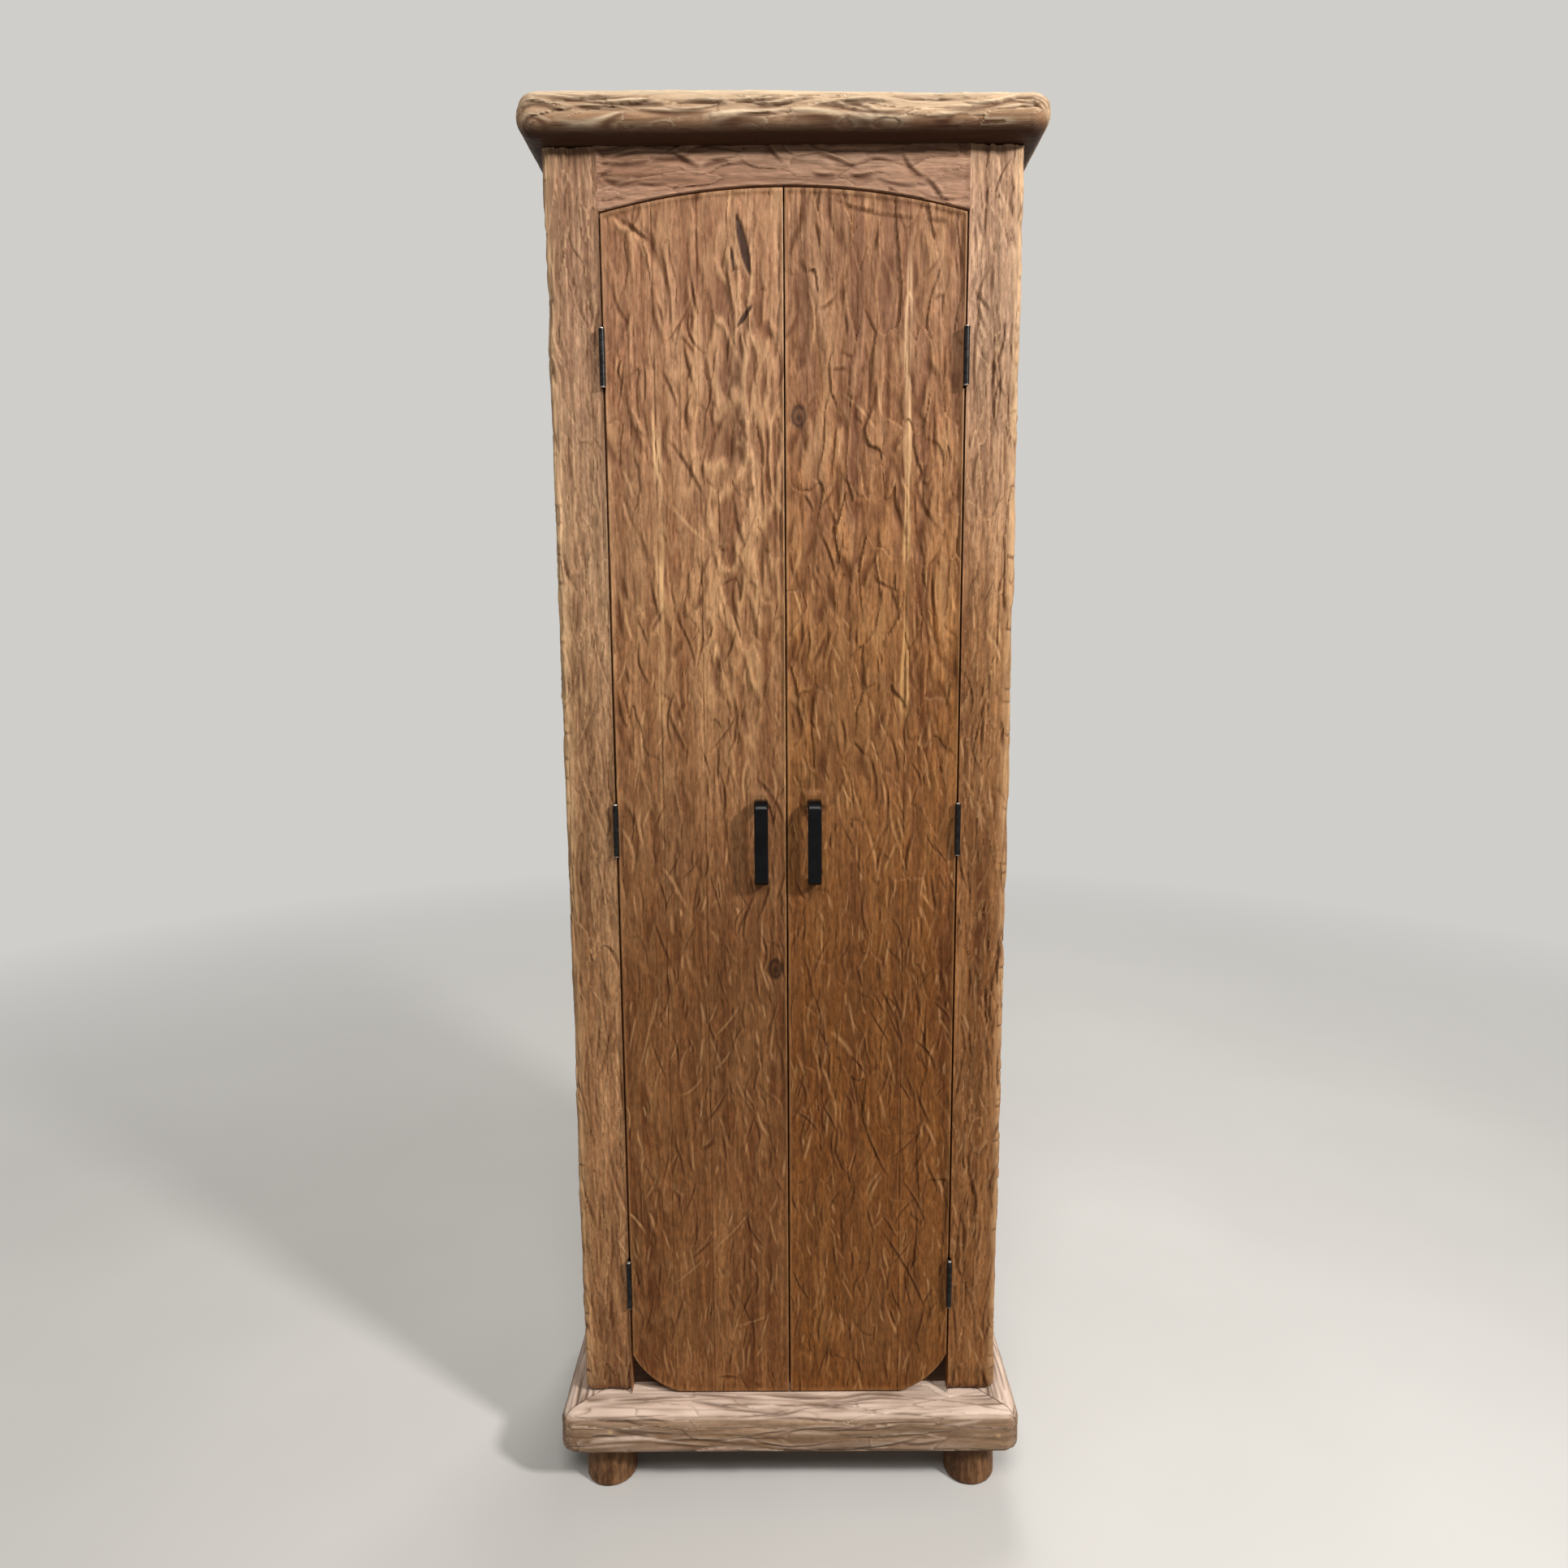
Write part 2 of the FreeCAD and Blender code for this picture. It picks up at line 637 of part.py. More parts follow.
def make_planks(name, side):
    slab = door_slab(side)
    tools = [leaf_recess(side, level, -side) for level in hinge_levels.values()]
    for level in hinge_levels.values():
        tools += hinge_screws(side, level, -side, HOLE_CLEARANCE)
    tools += handle_screws(side, HOLE_CLEARANCE)
    edges = [door_outer]
    for width in PLANK_WIDTHS[name]:
        edges.append(edges[-1] - width)
    edges.append(door_inner)
    for number in range(len(edges) - 1):
        outer, inner = edges[number], edges[number + 1]
        region = block((side * outer, side * inner), (face, door_rear), (door_bottom, arch_crown))
        if number > 0:
            region = region.cut(plank_tongue(side, outer, PLANK_TONGUE_CLEARANCE))
        if number < len(edges) - 2:
            region = region.fuse(plank_tongue(side, inner, 0.0)).removeSplitter()
        plank = slab.common(region)
        for tool in tools:
            plank = plank.cut(tool)
        save(f"door_{name}_plank_{number + 1}", *plank.Solids)


def make_battens(name, side):
    xs = (side * (door_outer - BATTEN_END_MARGIN), side * (door_inner + BATTEN_END_MARGIN))
    half = BATTEN_HEIGHT / 2
    for place, level in batten_levels.items():
        batten = block(xs, (door_rear, door_rear + BATTEN_THICKNESS), (level - half, level + half))
        back_edges = [edge for edge in batten.Edges if near(edge.BoundBox.YMin, batten.BoundBox.YMax)]
        save(f"door_{name}_batten_{place}", batten.makeChamfer(BATTEN_EDGE_CHAMFER, back_edges))


# Handles and catches
def make_handle(name, side):
    """A flat bar bent into a bow, its two ends standing on the door."""
    x = handle_middle[side] - HANDLE_WIDTH / 2
    front = face - HANDLE_PROJECTION
    bar = HANDLE_BAR_THICKNESS

    def path(offset):
        """One edge of the bar, from the upper foot round to the lower foot."""
        top = handle_level + HANDLE_LENGTH / 2 - offset
        low = handle_level - HANDLE_LENGTH / 2 + offset
        y = front + offset
        turn = HANDLE_BEND_RADIUS - offset
        bend = turn * (1 - math.sqrt(0.5))
        return [
            line(V(x, face, top), V(x, y + turn, top)),
            arc(V(x, y + turn, top), V(x, y + bend, top - bend), V(x, y, top - turn)),
            line(V(x, y, top - turn), V(x, y, low + turn)),
            arc(V(x, y, low + turn), V(x, y + bend, low + bend), V(x, y + turn, low)),
            line(V(x, y + turn, low), V(x, face, low)),
        ]

    outer = path(0.0)
    inner = path(bar)
    half = HANDLE_LENGTH / 2
    top_end = line(V(x, face, handle_level + half), V(x, face, handle_level + half - bar))
    low_end = line(V(x, face, handle_level - half), V(x, face, handle_level - half + bar))
    outline = Part.__sortEdges__(outer + inner + [top_end, low_end])
    handle = prism(outline, V(HANDLE_WIDTH, 0, 0))
    handle = rounded(
        handle, HANDLE_EDGE_RADIUS,
        lambda b: near(b.XLength, 0) and not (near(b.YMin, face) and near(b.YMax, face)),
    )
    for hole in handle_screws(side, HOLE_CLEARANCE):
        handle = handle.cut(hole)
    save(f"handle_{name}", handle)
    save(f"handle_screws_{name}", *handle_screws(side, 0.0))


def handle_screws(side, extra):
    """Pan head screws through the door from behind, or with extra the holes that take them."""
    screws = []
    forward = V(0, -1, 0)
    for z in handle_screw_levels:
        start = V(handle_middle[side], door_rear, z)
        length = DOOR_THICKNESS + handle_screw_depth + extra
        shank = Part.makeCylinder(HANDLE_SCREW_RADIUS + extra, length, start, forward)
        head = Part.makeCylinder(HANDLE_SCREW_HEAD_RADIUS, HANDLE_SCREW_HEAD_HEIGHT, start, -forward)
        screws.append(shank if extra else shank.fuse(head))
    return screws


def make_catches():
    """Magnet blocks under the top stop, each facing a strike plate on the back of its door."""
    blocks = []
    for name, side in SIDES.items():
        x = side * CATCH_FROM_CENTRE
        catch_bottom = top_stop_bottom - CATCH_HEIGHT
        catch = block(
            (x - CATCH_LENGTH / 2, x + CATCH_LENGTH / 2),
            (stop_front, stile_rear),
            (catch_bottom, top_stop_bottom),
        )
        blocks.append(rounded(catch, CATCH_EDGE_RADIUS, lambda b: near(b.ZMax, catch_bottom)))
        middle = top_stop_bottom - CATCH_HEIGHT / 2
        strike = block(
            (x - STRIKE_LENGTH / 2, x + STRIKE_LENGTH / 2),
            (door_rear, door_rear + STRIKE_THICKNESS),
            (middle - STRIKE_HEIGHT / 2, middle + STRIKE_HEIGHT / 2),
        )
        save(f"strike_plate_{name}", strike)
    save("catch_magnets", *blocks)


def main():
    os.makedirs("parts", exist_ok=True)
    make_feet()
    make_plinth()
    make_dowels()
    make_slab()
    make_top_rail()
    make_stops()
    make_sides()
    make_back_boards()
    make_floor()
    make_shelves()
    make_hinges()
    make_catches()
    for name, side in SIDES.items():
        make_stile(name, side)
        make_planks(name, side)
        make_battens(name, side)
        make_handle(name, side)


main()
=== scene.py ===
"""Finished look of a tall two-door cupboard of hewn teak.

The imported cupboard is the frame, in metres, with its doors towards -Y. Its outer boards are modelled
again as finely divided boards whose faces are carved inwards, so that nothing stands proud of the
construction. Carving is worked out in millimetres.
"""
import math

import bmesh
import bpy
import numpy as np
from mathutils import Matrix, Vector


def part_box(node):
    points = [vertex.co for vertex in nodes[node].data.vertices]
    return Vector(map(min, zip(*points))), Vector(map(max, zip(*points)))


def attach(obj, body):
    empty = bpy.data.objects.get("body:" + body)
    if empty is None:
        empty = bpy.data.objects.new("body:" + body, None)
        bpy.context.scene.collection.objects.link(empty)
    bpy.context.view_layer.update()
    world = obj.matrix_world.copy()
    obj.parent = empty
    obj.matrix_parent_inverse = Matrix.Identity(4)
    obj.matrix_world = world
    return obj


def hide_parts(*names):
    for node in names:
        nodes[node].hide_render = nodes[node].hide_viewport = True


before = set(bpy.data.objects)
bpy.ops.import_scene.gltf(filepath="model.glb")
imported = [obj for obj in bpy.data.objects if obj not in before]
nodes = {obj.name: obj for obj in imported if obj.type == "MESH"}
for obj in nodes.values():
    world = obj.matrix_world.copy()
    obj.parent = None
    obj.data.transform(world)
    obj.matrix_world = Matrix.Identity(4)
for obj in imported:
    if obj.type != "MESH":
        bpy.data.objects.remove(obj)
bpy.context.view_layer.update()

MM = 1000.0
X, Y, Z = 0, 1, 2
SIDES = {"left": -1, "right": 1}

# Fineness of the carved boards, in millimetres
COARSENESS = 1.0
DOOR_CELL = 1.4 * COARSENESS
DOOR_STEP = 2.3 * COARSENESS
FRAME_CELL = 1.8 * COARSENESS
FRAME_STEP = 2.4 * COARSENESS
SLAB_CELLS = np.array([2.2, 4.0, 1.5]) * COARSENESS
PANEL_CELL = 4.0 * COARSENESS
HIDDEN_CELL = 9.0
ROUND_SEGMENTS = 6
SHARP_ANGLE = math.radians(55)

# Places closer than this, in millimetres, are the same
TOUCH = 0.01


def corners(node):
    """Lowest and highest corner of a part of the frame, in millimetres."""
    low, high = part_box(node)
    return np.array(low) * MM, np.array(high) * MM


# Planes and levels of the cupboard, in millimetres, from the frame
stile_low, stile_high = corners("front_stile_right")
FACE = stile_low[Y]
STILE_REAR = stile_high[Y]
OPENING_HALF = stile_low[X]
BODY_HALF = stile_high[X]
BODY_LOW = stile_low[Z]
BODY_HIGH = stile_high[Z]
rail_low, rail_high = corners("top_rail")
RAIL_REAR = rail_high[Y]
ARCH_SPRING = rail_low[Z]
door_low, door_high = corners("door_right_plank_1")
DOOR_OUTER = door_high[X]
DOOR_REAR = door_high[Y]
meeting_low, meeting_high = corners("door_right_plank_2")
DOOR_BOTTOM = meeting_low[Z]
DOOR_INNER = meeting_low[X]

# Sizes that the frame's boxes don't give, in millimetres
ARCH_RISE = 30.0
DOOR_TOP_GAP = 2.5
DOOR_CORNER_WIDTH = 66.0
DOOR_CORNER_HEIGHT = 60.0
DOOR_CORNER_BOW = 9.0
STILE_EDGE_RADIUS = 11.0
SLAB_CORNER_RADIUS = 28.0
SLAB_TOP_RADIUS = 25.0
SLAB_BOTTOM_RADIUS = 24.0
PLINTH_CORNER_RADIUS = 24.0
PLINTH_TOP_RADIUS = 18.0
PLINTH_BOTTOM_RADIUS = 12.0
PLINTH_BOARD_WIDTH = 90.0
FOOT_TOP_RADIUS = 36.5
FOOT_EDGE_RADIUS = 8.0
BACK_REBATE = (10.0, 12.0)
MEETING_EDGE_BEVEL = 1.6
LEAF_CLEARANCE = 0.2

ARCH_RADIUS = (OPENING_HALF ** 2 + ARCH_RISE ** 2) / (2 * ARCH_RISE)
ARCH_CENTRE = ARCH_SPRING + ARCH_RISE - ARCH_RADIUS


# Noise and carving
dice = np.random.default_rng(11)
SHUFFLE = dice.permutation(256)
SLOPES = dice.normal(size=(256, 3))
SLOPES /= np.linalg.norm(SLOPES, axis=1, keepdims=True)
SEED_SHIFT = np.array([17.31, 5.77, 29.13])
NOISE_GAIN = 1.7
CHIP_PLACES = dice.uniform(0.08, 0.92, size=(256, 2))
CHIP_SLOPES = dice.uniform(-0.5, 0.5, size=(256, 3))


def noise(points):
    """Smooth noise between about -1 and 1 at points given as rows of three numbers."""
    cell = np.floor(points).astype(int)
    part = points - cell
    ease = part ** 3 * (part * (part * 6 - 15) + 10)
    total = np.zeros(len(points))
    for corner in np.ndindex(2, 2, 2):
        spot = (cell + corner) & 255
        pick = SHUFFLE[spot[:, X]]
        pick = SHUFFLE[(pick + spot[:, Y]) & 255]
        pick = SHUFFLE[(pick + spot[:, Z]) & 255]
        push = np.einsum("ij,ij->i", SLOPES[pick], part - corner)
        total += push * np.prod(np.where(corner, ease, 1 - ease), axis=1)
    return NOISE_GAIN * total


def wave(values, seed):
    """Smooth noise along one line of values."""
    points = np.zeros((len(values), 3))
    points[:, X] = values
    return noise(points + seed * SEED_SHIFT)


def step(values, low, high):
    """Eases from 0 at low to 1 at high."""
    share = np.clip((values - low) / (high - low), 0, 1)
    return share * share * (3 - 2 * share)


def bump(values, middle, spread):
    """1 at the middle, dying away on both sides."""
    return np.exp(-((values - middle) / spread) ** 2)


def along_line(u, v, start, end):
    """The share of the way from start to end, the distance beside that line, and its direction."""
    run = np.subtract(end, start)
    length = math.hypot(*run)
    ahead = run / length
    share = ((u - start[0]) * ahead[0] + (v - start[1]) * ahead[1]) / length
    beside = (v - start[1]) * ahead[0] - (u - start[0]) * ahead[1]
    return share, beside, ahead


class Carving:
    """Depth of cut in millimetres, and tints from 0 to 1, at every point of one board.

    Cuts are placed in two directions over a face, across and along; light is where it comes from in those.
    """

    def __init__(self, points, grain, light=(0.4, 0.9)):
        self.points = points
        self.grain = grain
        self.light = light
        # Tints: dark wood and dirt with painted shade; wear with painted highlights; stains, with painted
        # shade under the slab
        self.depth = np.zeros(len(points))
        self.dark_and_shade = np.zeros(len(points))
        self.wear_and_highlight = np.zeros(len(points))
        self.stain_and_shade = np.zeros(len(points))
        self.sapwood = np.zeros(len(points))

    def mark(self, tint, strength):
        """Makes one of the tints at least this strong at each point."""
        setattr(self, tint, np.maximum(getattr(self, tint), strength))

    def cells(self, across, along, seed):
        """The points counted in cells that are long in the direction of the grain."""
        cells = self.points / across
        cells[:, self.grain] *= across / along
        return cells + seed * SEED_SHIFT

    def swell(self, across, along, depth, seed):
        """Broad, soft waves left by the adze."""
        self.depth += depth * (0.5 + 0.5 * noise(self.cells(across, along, seed)))

    def flames(self, across, along, depth, seed, ridged=0.0, tint=1.0, broad=0.3):
        """Lines along the grain that branch and meet: creases between lumps, or ridges between hollows."""
        cells = self.cells(across, along, seed)
        lean = noise(cells * 0.33 + 3 * SEED_SHIFT)
        for axis in (X, Y, Z):
            if axis != self.grain:
                cells[:, axis] += 0.9 * lean
        height = np.abs(noise(cells) + 0.4 * noise(2.3 * cells + SEED_SHIFT))
        line = np.clip(1 - height / broad, 0, 1) ** 1.5
        field = step(height, 0.02, 0.5)
        creased = 0.6 * line + 0.4 * np.clip(1 - height * 1.6, 0, 1)
        self.depth += depth * ((1 - ridged) * creased + ridged * field)
        # Painted shade in the creases and a painted highlight on the ridges, with dark wood and wear
        dark_and_shade = (1 - ridged) * line + ridged * 0.8 * field
        wear_and_highlight = (1 - ridged) * 0.5 * step(height, 0.42, 0.8) + ridged * 0.8 * line
        self.mark("dark_and_shade", tint * dark_and_shade)
        self.mark("wear_and_highlight", tint * wear_and_highlight)

    def chips(self, u, v, across, along, depth, seed, tint=1.0, wall=2.2, rim=0.8):
        """Flat, tilted chips that meet in steps: dark at the foot of a step and pale along its edge."""
        sway = self.cells(1.6 * across, 0.8 * along, seed)
        places = np.stack([u / across + 0.5 * noise(sway), v / along + 0.4 * noise(sway + SEED_SHIFT)])
        base = np.floor(places).astype(int)
        first = {"far": np.full(len(u), 9.0)}
        second = {"far": np.full(len(u), 9.0)}
        for key in ("u", "v", "level"):
            first[key] = np.zeros(len(u))
            second[key] = np.zeros(len(u))
        for i in (-1, 0, 1):
            for j in (-1, 0, 1):
                pick = SHUFFLE[(base[0] + i + 7 * seed) & 255]
                pick = SHUFFLE[(pick + base[1] + j) & 255]
                chip = {
                    "u": places[0] - base[0] - i - CHIP_PLACES[pick, 0],
                    "v": places[1] - base[1] - j - CHIP_PLACES[pick, 1],
                }
                chip["far"] = np.hypot(chip["u"], chip["v"])
                slopes = CHIP_SLOPES[pick]
                chip["level"] = slopes[:, 0] + 1.2 * (slopes[:, 1] * chip["u"] + slopes[:, 2] * chip["v"])
                nearest = chip["far"] < first["far"]
                next_near = ~nearest & (chip["far"] < second["far"])
                for key in first:
                    second[key] = np.where(nearest, first[key], np.where(next_near, chip[key], second[key]))
                    first[key] = np.where(nearest, chip[key], first[key])
        reach = np.maximum(first["far"], 1e-3), np.maximum(second["far"], 1e-3)
        steep_u = (first["u"] / reach[0] - second["u"] / reach[1]) / across
        steep_v = (first["v"] / reach[0] - second["v"] / reach[1]) / along
        border = (second["far"] - first["far"]) / np.maximum(np.hypot(steep_u, steep_v), 1e-3)
        fall = first["level"] - second["level"]
        blend = 0.5 * np.clip(1 - border / 0.7, 0, 1)
        foot = bump(border, 0, wall) * step(fall, 0.02, 0.45)
        edge = bump(border, 0, min(wall, 2.2)) * step(-fall, 0.02, 0.45)
        self.depth += depth * (0.6 + first["level"] - blend * fall + 0.3 * foot)
        # Painted shade at the foot of each step and over the deeper chips, and a painted highlight along each
        # edge
        self.mark("dark_and_shade", tint * np.maximum(foot, 0.4 * step(first["level"], 0.1, 0.6)))
        self.mark("wear_and_highlight", tint * rim * edge)

    def gouge(self, u, v, start, end, width, depth, bend=0.0, pale=0.0, soft=0.0, rim=0.35):
        """One cut between two places: a steep wall with a lip on one side, a long scoop on the other.

        The steep wall of a dark cut faces away from the light, and that of a pale one faces it.
        """
        share, beside, ahead = along_line(u, v, start, end)
        taper = np.clip(4 * share * (1 - share), 0, 1)
        across = beside - bend * taper
        scoop_lit = ahead[0] * self.light[1] - ahead[1] * self.light[0] > 0
        if scoop_lit != (pale > 0):
            across = -across
        near = (taper > 0) & (np.abs(across) < 5 * width)
        taper = taper[near] ** 0.6
        across = across[near]
        reach = np.where(across > 0, 1.9, 0.55) * width
        scoop = taper * bump(across, 0, reach)
        core = taper * bump(across, 0, 0.85 * width)
        shade = (1 - soft) * core + soft * scoop
        lip = taper * bump(across, -1.5 * width, 0.7 * width)
        self.depth[near] += depth * (scoop - 0.4 * lip)
        # A dark cut gets painted shade inside and a painted highlight on its lip; a pale cut is a pale
        # scratch, with painted shade by its lip
        if pale:
            self.dark_and_shade[near] = np.maximum(self.dark_and_shade[near], 0.6 * pale * lip)
            self.wear_and_highlight[near] = np.maximum(self.wear_and_highlight[near], core * pale)
        else:
            self.dark_and_shade[near] = np.maximum(self.dark_and_shade[near], shade)
            self.wear_and_highlight[near] = np.maximum(self.wear_and_highlight[near], rim * lip)

    def cavity(self, u, v, start, end, width, depth):
        """A deep dark hole with a clear edge, pointed at both ends."""
        share, beside, _ = along_line(u, v, start, end)
        across = np.abs(beside)
        half = width * np.clip(4 * share * (1 - share), 0, 1) ** 0.7
        inside = step(half - across, -0.6, 1.6) * (half > 0)
        self.depth += depth * inside
        self.mark("stain_and_shade", inside)
        rim = bump(across - half, 1.2, 1.6) * (half > 0.3 * width)
        self.mark("wear_and_highlight", 0.5 * rim)

    def knot(self, u, v, middle, half_width, half_height):
        """A dark knot with a ring round it."""
        across = (u - middle[0]) / half_width
        along = (v - middle[1]) / half_height
        reach = np.hypot(across, along)
        heart = bump(np.hypot(across, along + 0.2), 0, 0.55)
        ring = bump(reach, 1, 0.3)
        self.depth += 1.8 * heart + 1.2 * ring
        self.mark("stain_and_shade", np.maximum(heart, 0.9 * ring))
        self.mark("dark_and_shade", 0.6 * step(1.4 - reach, 0, 0.5))

    def skimmed(self, skim, most):
        """The depth with the highest parts planed level."""
        return np.clip(self.depth - skim, 0, most)

    def tints(self):
        """The four tints side by side, as a colour with alpha holds them."""
        shades = np.stack([self.dark_and_shade, self.wear_and_highlight, self.stain_and_shade, self.sapwood], axis=1)
        return np.clip(shades, 0, 1)


# Size of the patches in which chance cuts lean the same way, in millimetres
FLOW_ACROSS = 34.0
FLOW_ALONG = 80.0


def scatter_gouges(
    carving, u, v, seed, count, low, high, lengths, widths, depths, lean, pale, soft=0.0, curl=0.05, rim=0.35,
):
    """Chance cuts over a face, leaning from the grain as their neighbours do.

    pale is the share of pale cuts; low and high are the face's corners, as across and along.
    """
    chance = np.random.default_rng(seed)
    for _ in range(count):
        middle = chance.uniform(low, high)
        flow = noise(np.array([[middle[0] / FLOW_ACROSS, middle[1] / FLOW_ALONG, seed + 0.5]]))[0]
        angle = lean * (1.8 * flow + chance.normal(0.0, 0.6))
        half = chance.uniform(*lengths) / 2
        run = np.array([math.sin(angle), math.cos(angle)]) * half * chance.choice((-1, 1))
        is_pale = chance.random() < pale
        carving.gouge(
            u, v, middle - run, middle + run,
            width=chance.uniform(*widths),
            depth=chance.uniform(*depths),
            bend=chance.normal(0.0, curl) * half * 2,
            pale=chance.uniform(0.25, 0.95) if is_pale else 0.0,
            soft=soft,
            rim=rim,
        )


# Boards and other shapes
def point_on(axis, along, pair):
    """A place in metres from a distance along one axis and the other two coordinates."""
    place = list(pair)
    place.insert(axis, along)
    return Vector(place) / MM


def swept_board(axis, ends, outline, shows, cell, stride, rounds=()):
    """A board with a flat outline of a few corners, some of them rounded, pushed along an axis.

    Sides whose middle shows are divided finely for carving, the others coarsely.
    """
    bm = bmesh.new()
    verts = [bm.verts.new(point_on(axis, ends[0], pair)) for pair in outline]
    bm.faces.new(verts)
    for number, radius in rounds:
        bmesh.ops.bevel(
            bm, geom=[verts[number]], offset=radius / MM, offset_type="OFFSET", affect="VERTICES",
            segments=ROUND_SEGMENTS, profile=0.5, material=-1,
        )
    for edge in list(bm.edges):
        middle = (edge.verts[0].co + edge.verts[1].co) / 2 * MM
        pieces = round(edge.calc_length() * MM / (cell if shows(middle) else HIDDEN_CELL))
        if pieces > 1:
            bmesh.ops.subdivide_edges(bm, edges=[edge], cuts=pieces - 1)
    pushed = bmesh.ops.extrude_face_region(bm, geom=list(bm.faces))["geom"]
    far_end = [part for part in pushed if isinstance(part, bmesh.types.BMVert)]
    length = ends[1] - ends[0]
    bmesh.ops.translate(bm, verts=far_end, vec=point_on(axis, length, (0, 0)))
    long_edges = [
        edge for edge in bm.edges
        if abs(edge.verts[0].co[axis] - edge.verts[1].co[axis]) * MM > abs(length) / 2
    ]
    cuts = round(abs(length) / stride) - 1
    bmesh.ops.subdivide_edges(bm, edges=long_edges, cuts=cuts, use_grid_fill=True)
    bmesh.ops.recalc_face_normals(bm, faces=bm.faces)
    return bm


def divided_block(low, high, cells):
    """A block between two corners, divided into cells of a given size on each axis."""
    bm = bmesh.new()
    bmesh.ops.create_cube(bm, size=1.0)
    bmesh.ops.scale(bm, vec=(high - low) / MM, verts=bm.verts)
    bmesh.ops.translate(bm, vec=(high + low) / 2 / MM, verts=bm.verts)
    for axis in (X, Y, Z):
        size = high[axis] - low[axis]
        along = [
            edge for edge in bm.edges
            if abs(edge.verts[0].co[axis] - edge.verts[1].co[axis]) * MM > size / 2
        ]
        bmesh.ops.subdivide_edges(bm, edges=along, cuts=round(size / cells[axis]) - 1, use_grid_fill=True)
    return bm


def round_pair(a, b):
    """Draws the square corner where both distances pass 0 in to a quarter circle."""
    inside = (a > 0) & (b > 0)
    reach = np.hypot(a, b)
    share = np.where(inside, np.maximum(a, b) / np.maximum(reach, 1e-9), 1.0)
    return a * share, b * share


def round_plan_corners(points, half, front, radius):
    """Rounds the two front corners of a board as seen from above."""
    a = np.abs(points[:, X]) - (half - radius)
    b = (front + radius) - points[:, Y]
    new_a, new_b = round_pair(a, b)
    points[:, X] += np.sign(points[:, X]) * (new_a - a)
    points[:, Y] -= new_b - b


def carved_piece(name, bm, carve, material, body, node):
    """Makes a board's mesh, carves it and puts it in the place of a part of the frame."""
    mesh = bpy.data.meshes.new(name)
    bm.to_mesh(mesh)
    bm.free()
    count = len(mesh.vertices)
    flat = np.empty(count * 3, np.float32)
    mesh.vertices.foreach_get("co", flat)
    points = flat.reshape(-1, 3).astype(float) * MM
    mesh.vertices.foreach_get("normal", flat)
    normals = flat.reshape(-1, 3).astype(float)
    points, tints = carve(points, normals)
    mesh.vertices.foreach_set("co", (points / MM).astype(np.float32).ravel())
    attribute = mesh.attributes.new("carving", "FLOAT_COLOR", "POINT")
    attribute.data.foreach_set("color", tints.astype(np.float32).ravel())
    mesh.shade_smooth()
    mesh.set_sharp_from_angle(angle=SHARP_ANGLE)
    mesh.update()
    piece = bpy.data.objects.new(name, mesh)
    bpy.context.scene.collection.objects.link(piece)
    mesh.materials.append(material)
    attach(piece, body)
    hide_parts(node)
    return piece


# Materials
def tone(red, green, blue):
    """A colour as seen on a screen, 0 to 255, as a shader colour."""
    shares = (value / 255 for value in (red, green, blue))
    light = [s / 12.92 if s <= 0.04045 else ((s + 0.055) / 1.055) ** 2.4 for s in shares]
    return (*light, 1.0)


class Nodes:
    """A node tree, built one node at a time."""

    def __init__(self, tree):
        self.tree = tree

    def node(self, kind, inputs=(), **settings):
        made = self.tree.nodes.new(kind)
        for key, value in settings.items():
            setattr(made, key, value)
        for key, value in dict(inputs).items():
            self.put(made.inputs[key], value)
        return made

    def put(self, socket, value):
        """Sets a socket to a number or colour, or links it to another node's output."""
        if isinstance(value, bpy.types.NodeSocket):
            self.tree.links.new(value, socket)
        else:
            socket.default_value = value

    def times(self, a, b):
        return self.node("ShaderNodeMath", {0: a, 1: b}, operation="MULTIPLY").outputs[0]

    def plus(self, a, b):
        return self.node("ShaderNodeMath", {0: a, 1: b}, operation="ADD").outputs[0]

    def greater(self, a, b):
        return self.node("ShaderNodeMath", {0: a, 1: b}, operation="MAXIMUM").outputs[0]


class Finish(Nodes):
    """A material with its node tree."""

    def __init__(self, name):
        self.material = bpy.data.materials.new(name)
        self.material.use_nodes = True
        super().__init__(self.material.node_tree)
        self.shader = self.tree.nodes["Principled BSDF"]

    def coordinates(self):
        return self.node("ShaderNodeTexCoord").outputs["Object"]

    def scaled(self, vector, scale):
        return self.node("ShaderNodeMapping", {"Vector": vector, "Scale": scale}).outputs["Vector"]

    def speckle(self, vector, scale, detail=2.0, roughness=0.5):
        inputs = {"Vector": vector, "Scale": scale, "Detail": detail, "Roughness": roughness}
        return self.node("ShaderNodeTexNoise", inputs)

    def spread(self, value, low, high, to_low=0.0, to_high=1.0):
        inputs = {"Value": value, "From Min": low, "From Max": high, "To Min": to_low, "To Max": to_high}
        return self.node("ShaderNodeMapRange", inputs).outputs["Result"]

    def mixed(self, share, first, second, blend="MIX"):
        """Two colours mixed; a share of 0 gives the first."""
        inputs = {0: share, 6: first, 7: second}
        made = self.node("ShaderNodeMix", inputs, data_type="RGBA", blend_type=blend)
        return made.outputs[2]

    def ramp(self, value, stops):
        """A colour picked from a row of (place, colour) stops."""
        made = self.node("ShaderNodeValToRGB", {"Fac": value})
        row = made.color_ramp.elements
        while len(row) < len(stops):
            row.new(0.5)
        for element, (place, colour) in zip(row, stops):
            element.position = place
            element.color = colour
        return made.outputs["Color"]

    def relief(self, height, distance, strength):
        inputs = {"Height": height, "Distance": distance, "Strength": strength}
        self.put(self.shader.inputs["Normal"], self.node("ShaderNodeBump", inputs).outputs["Normal"])


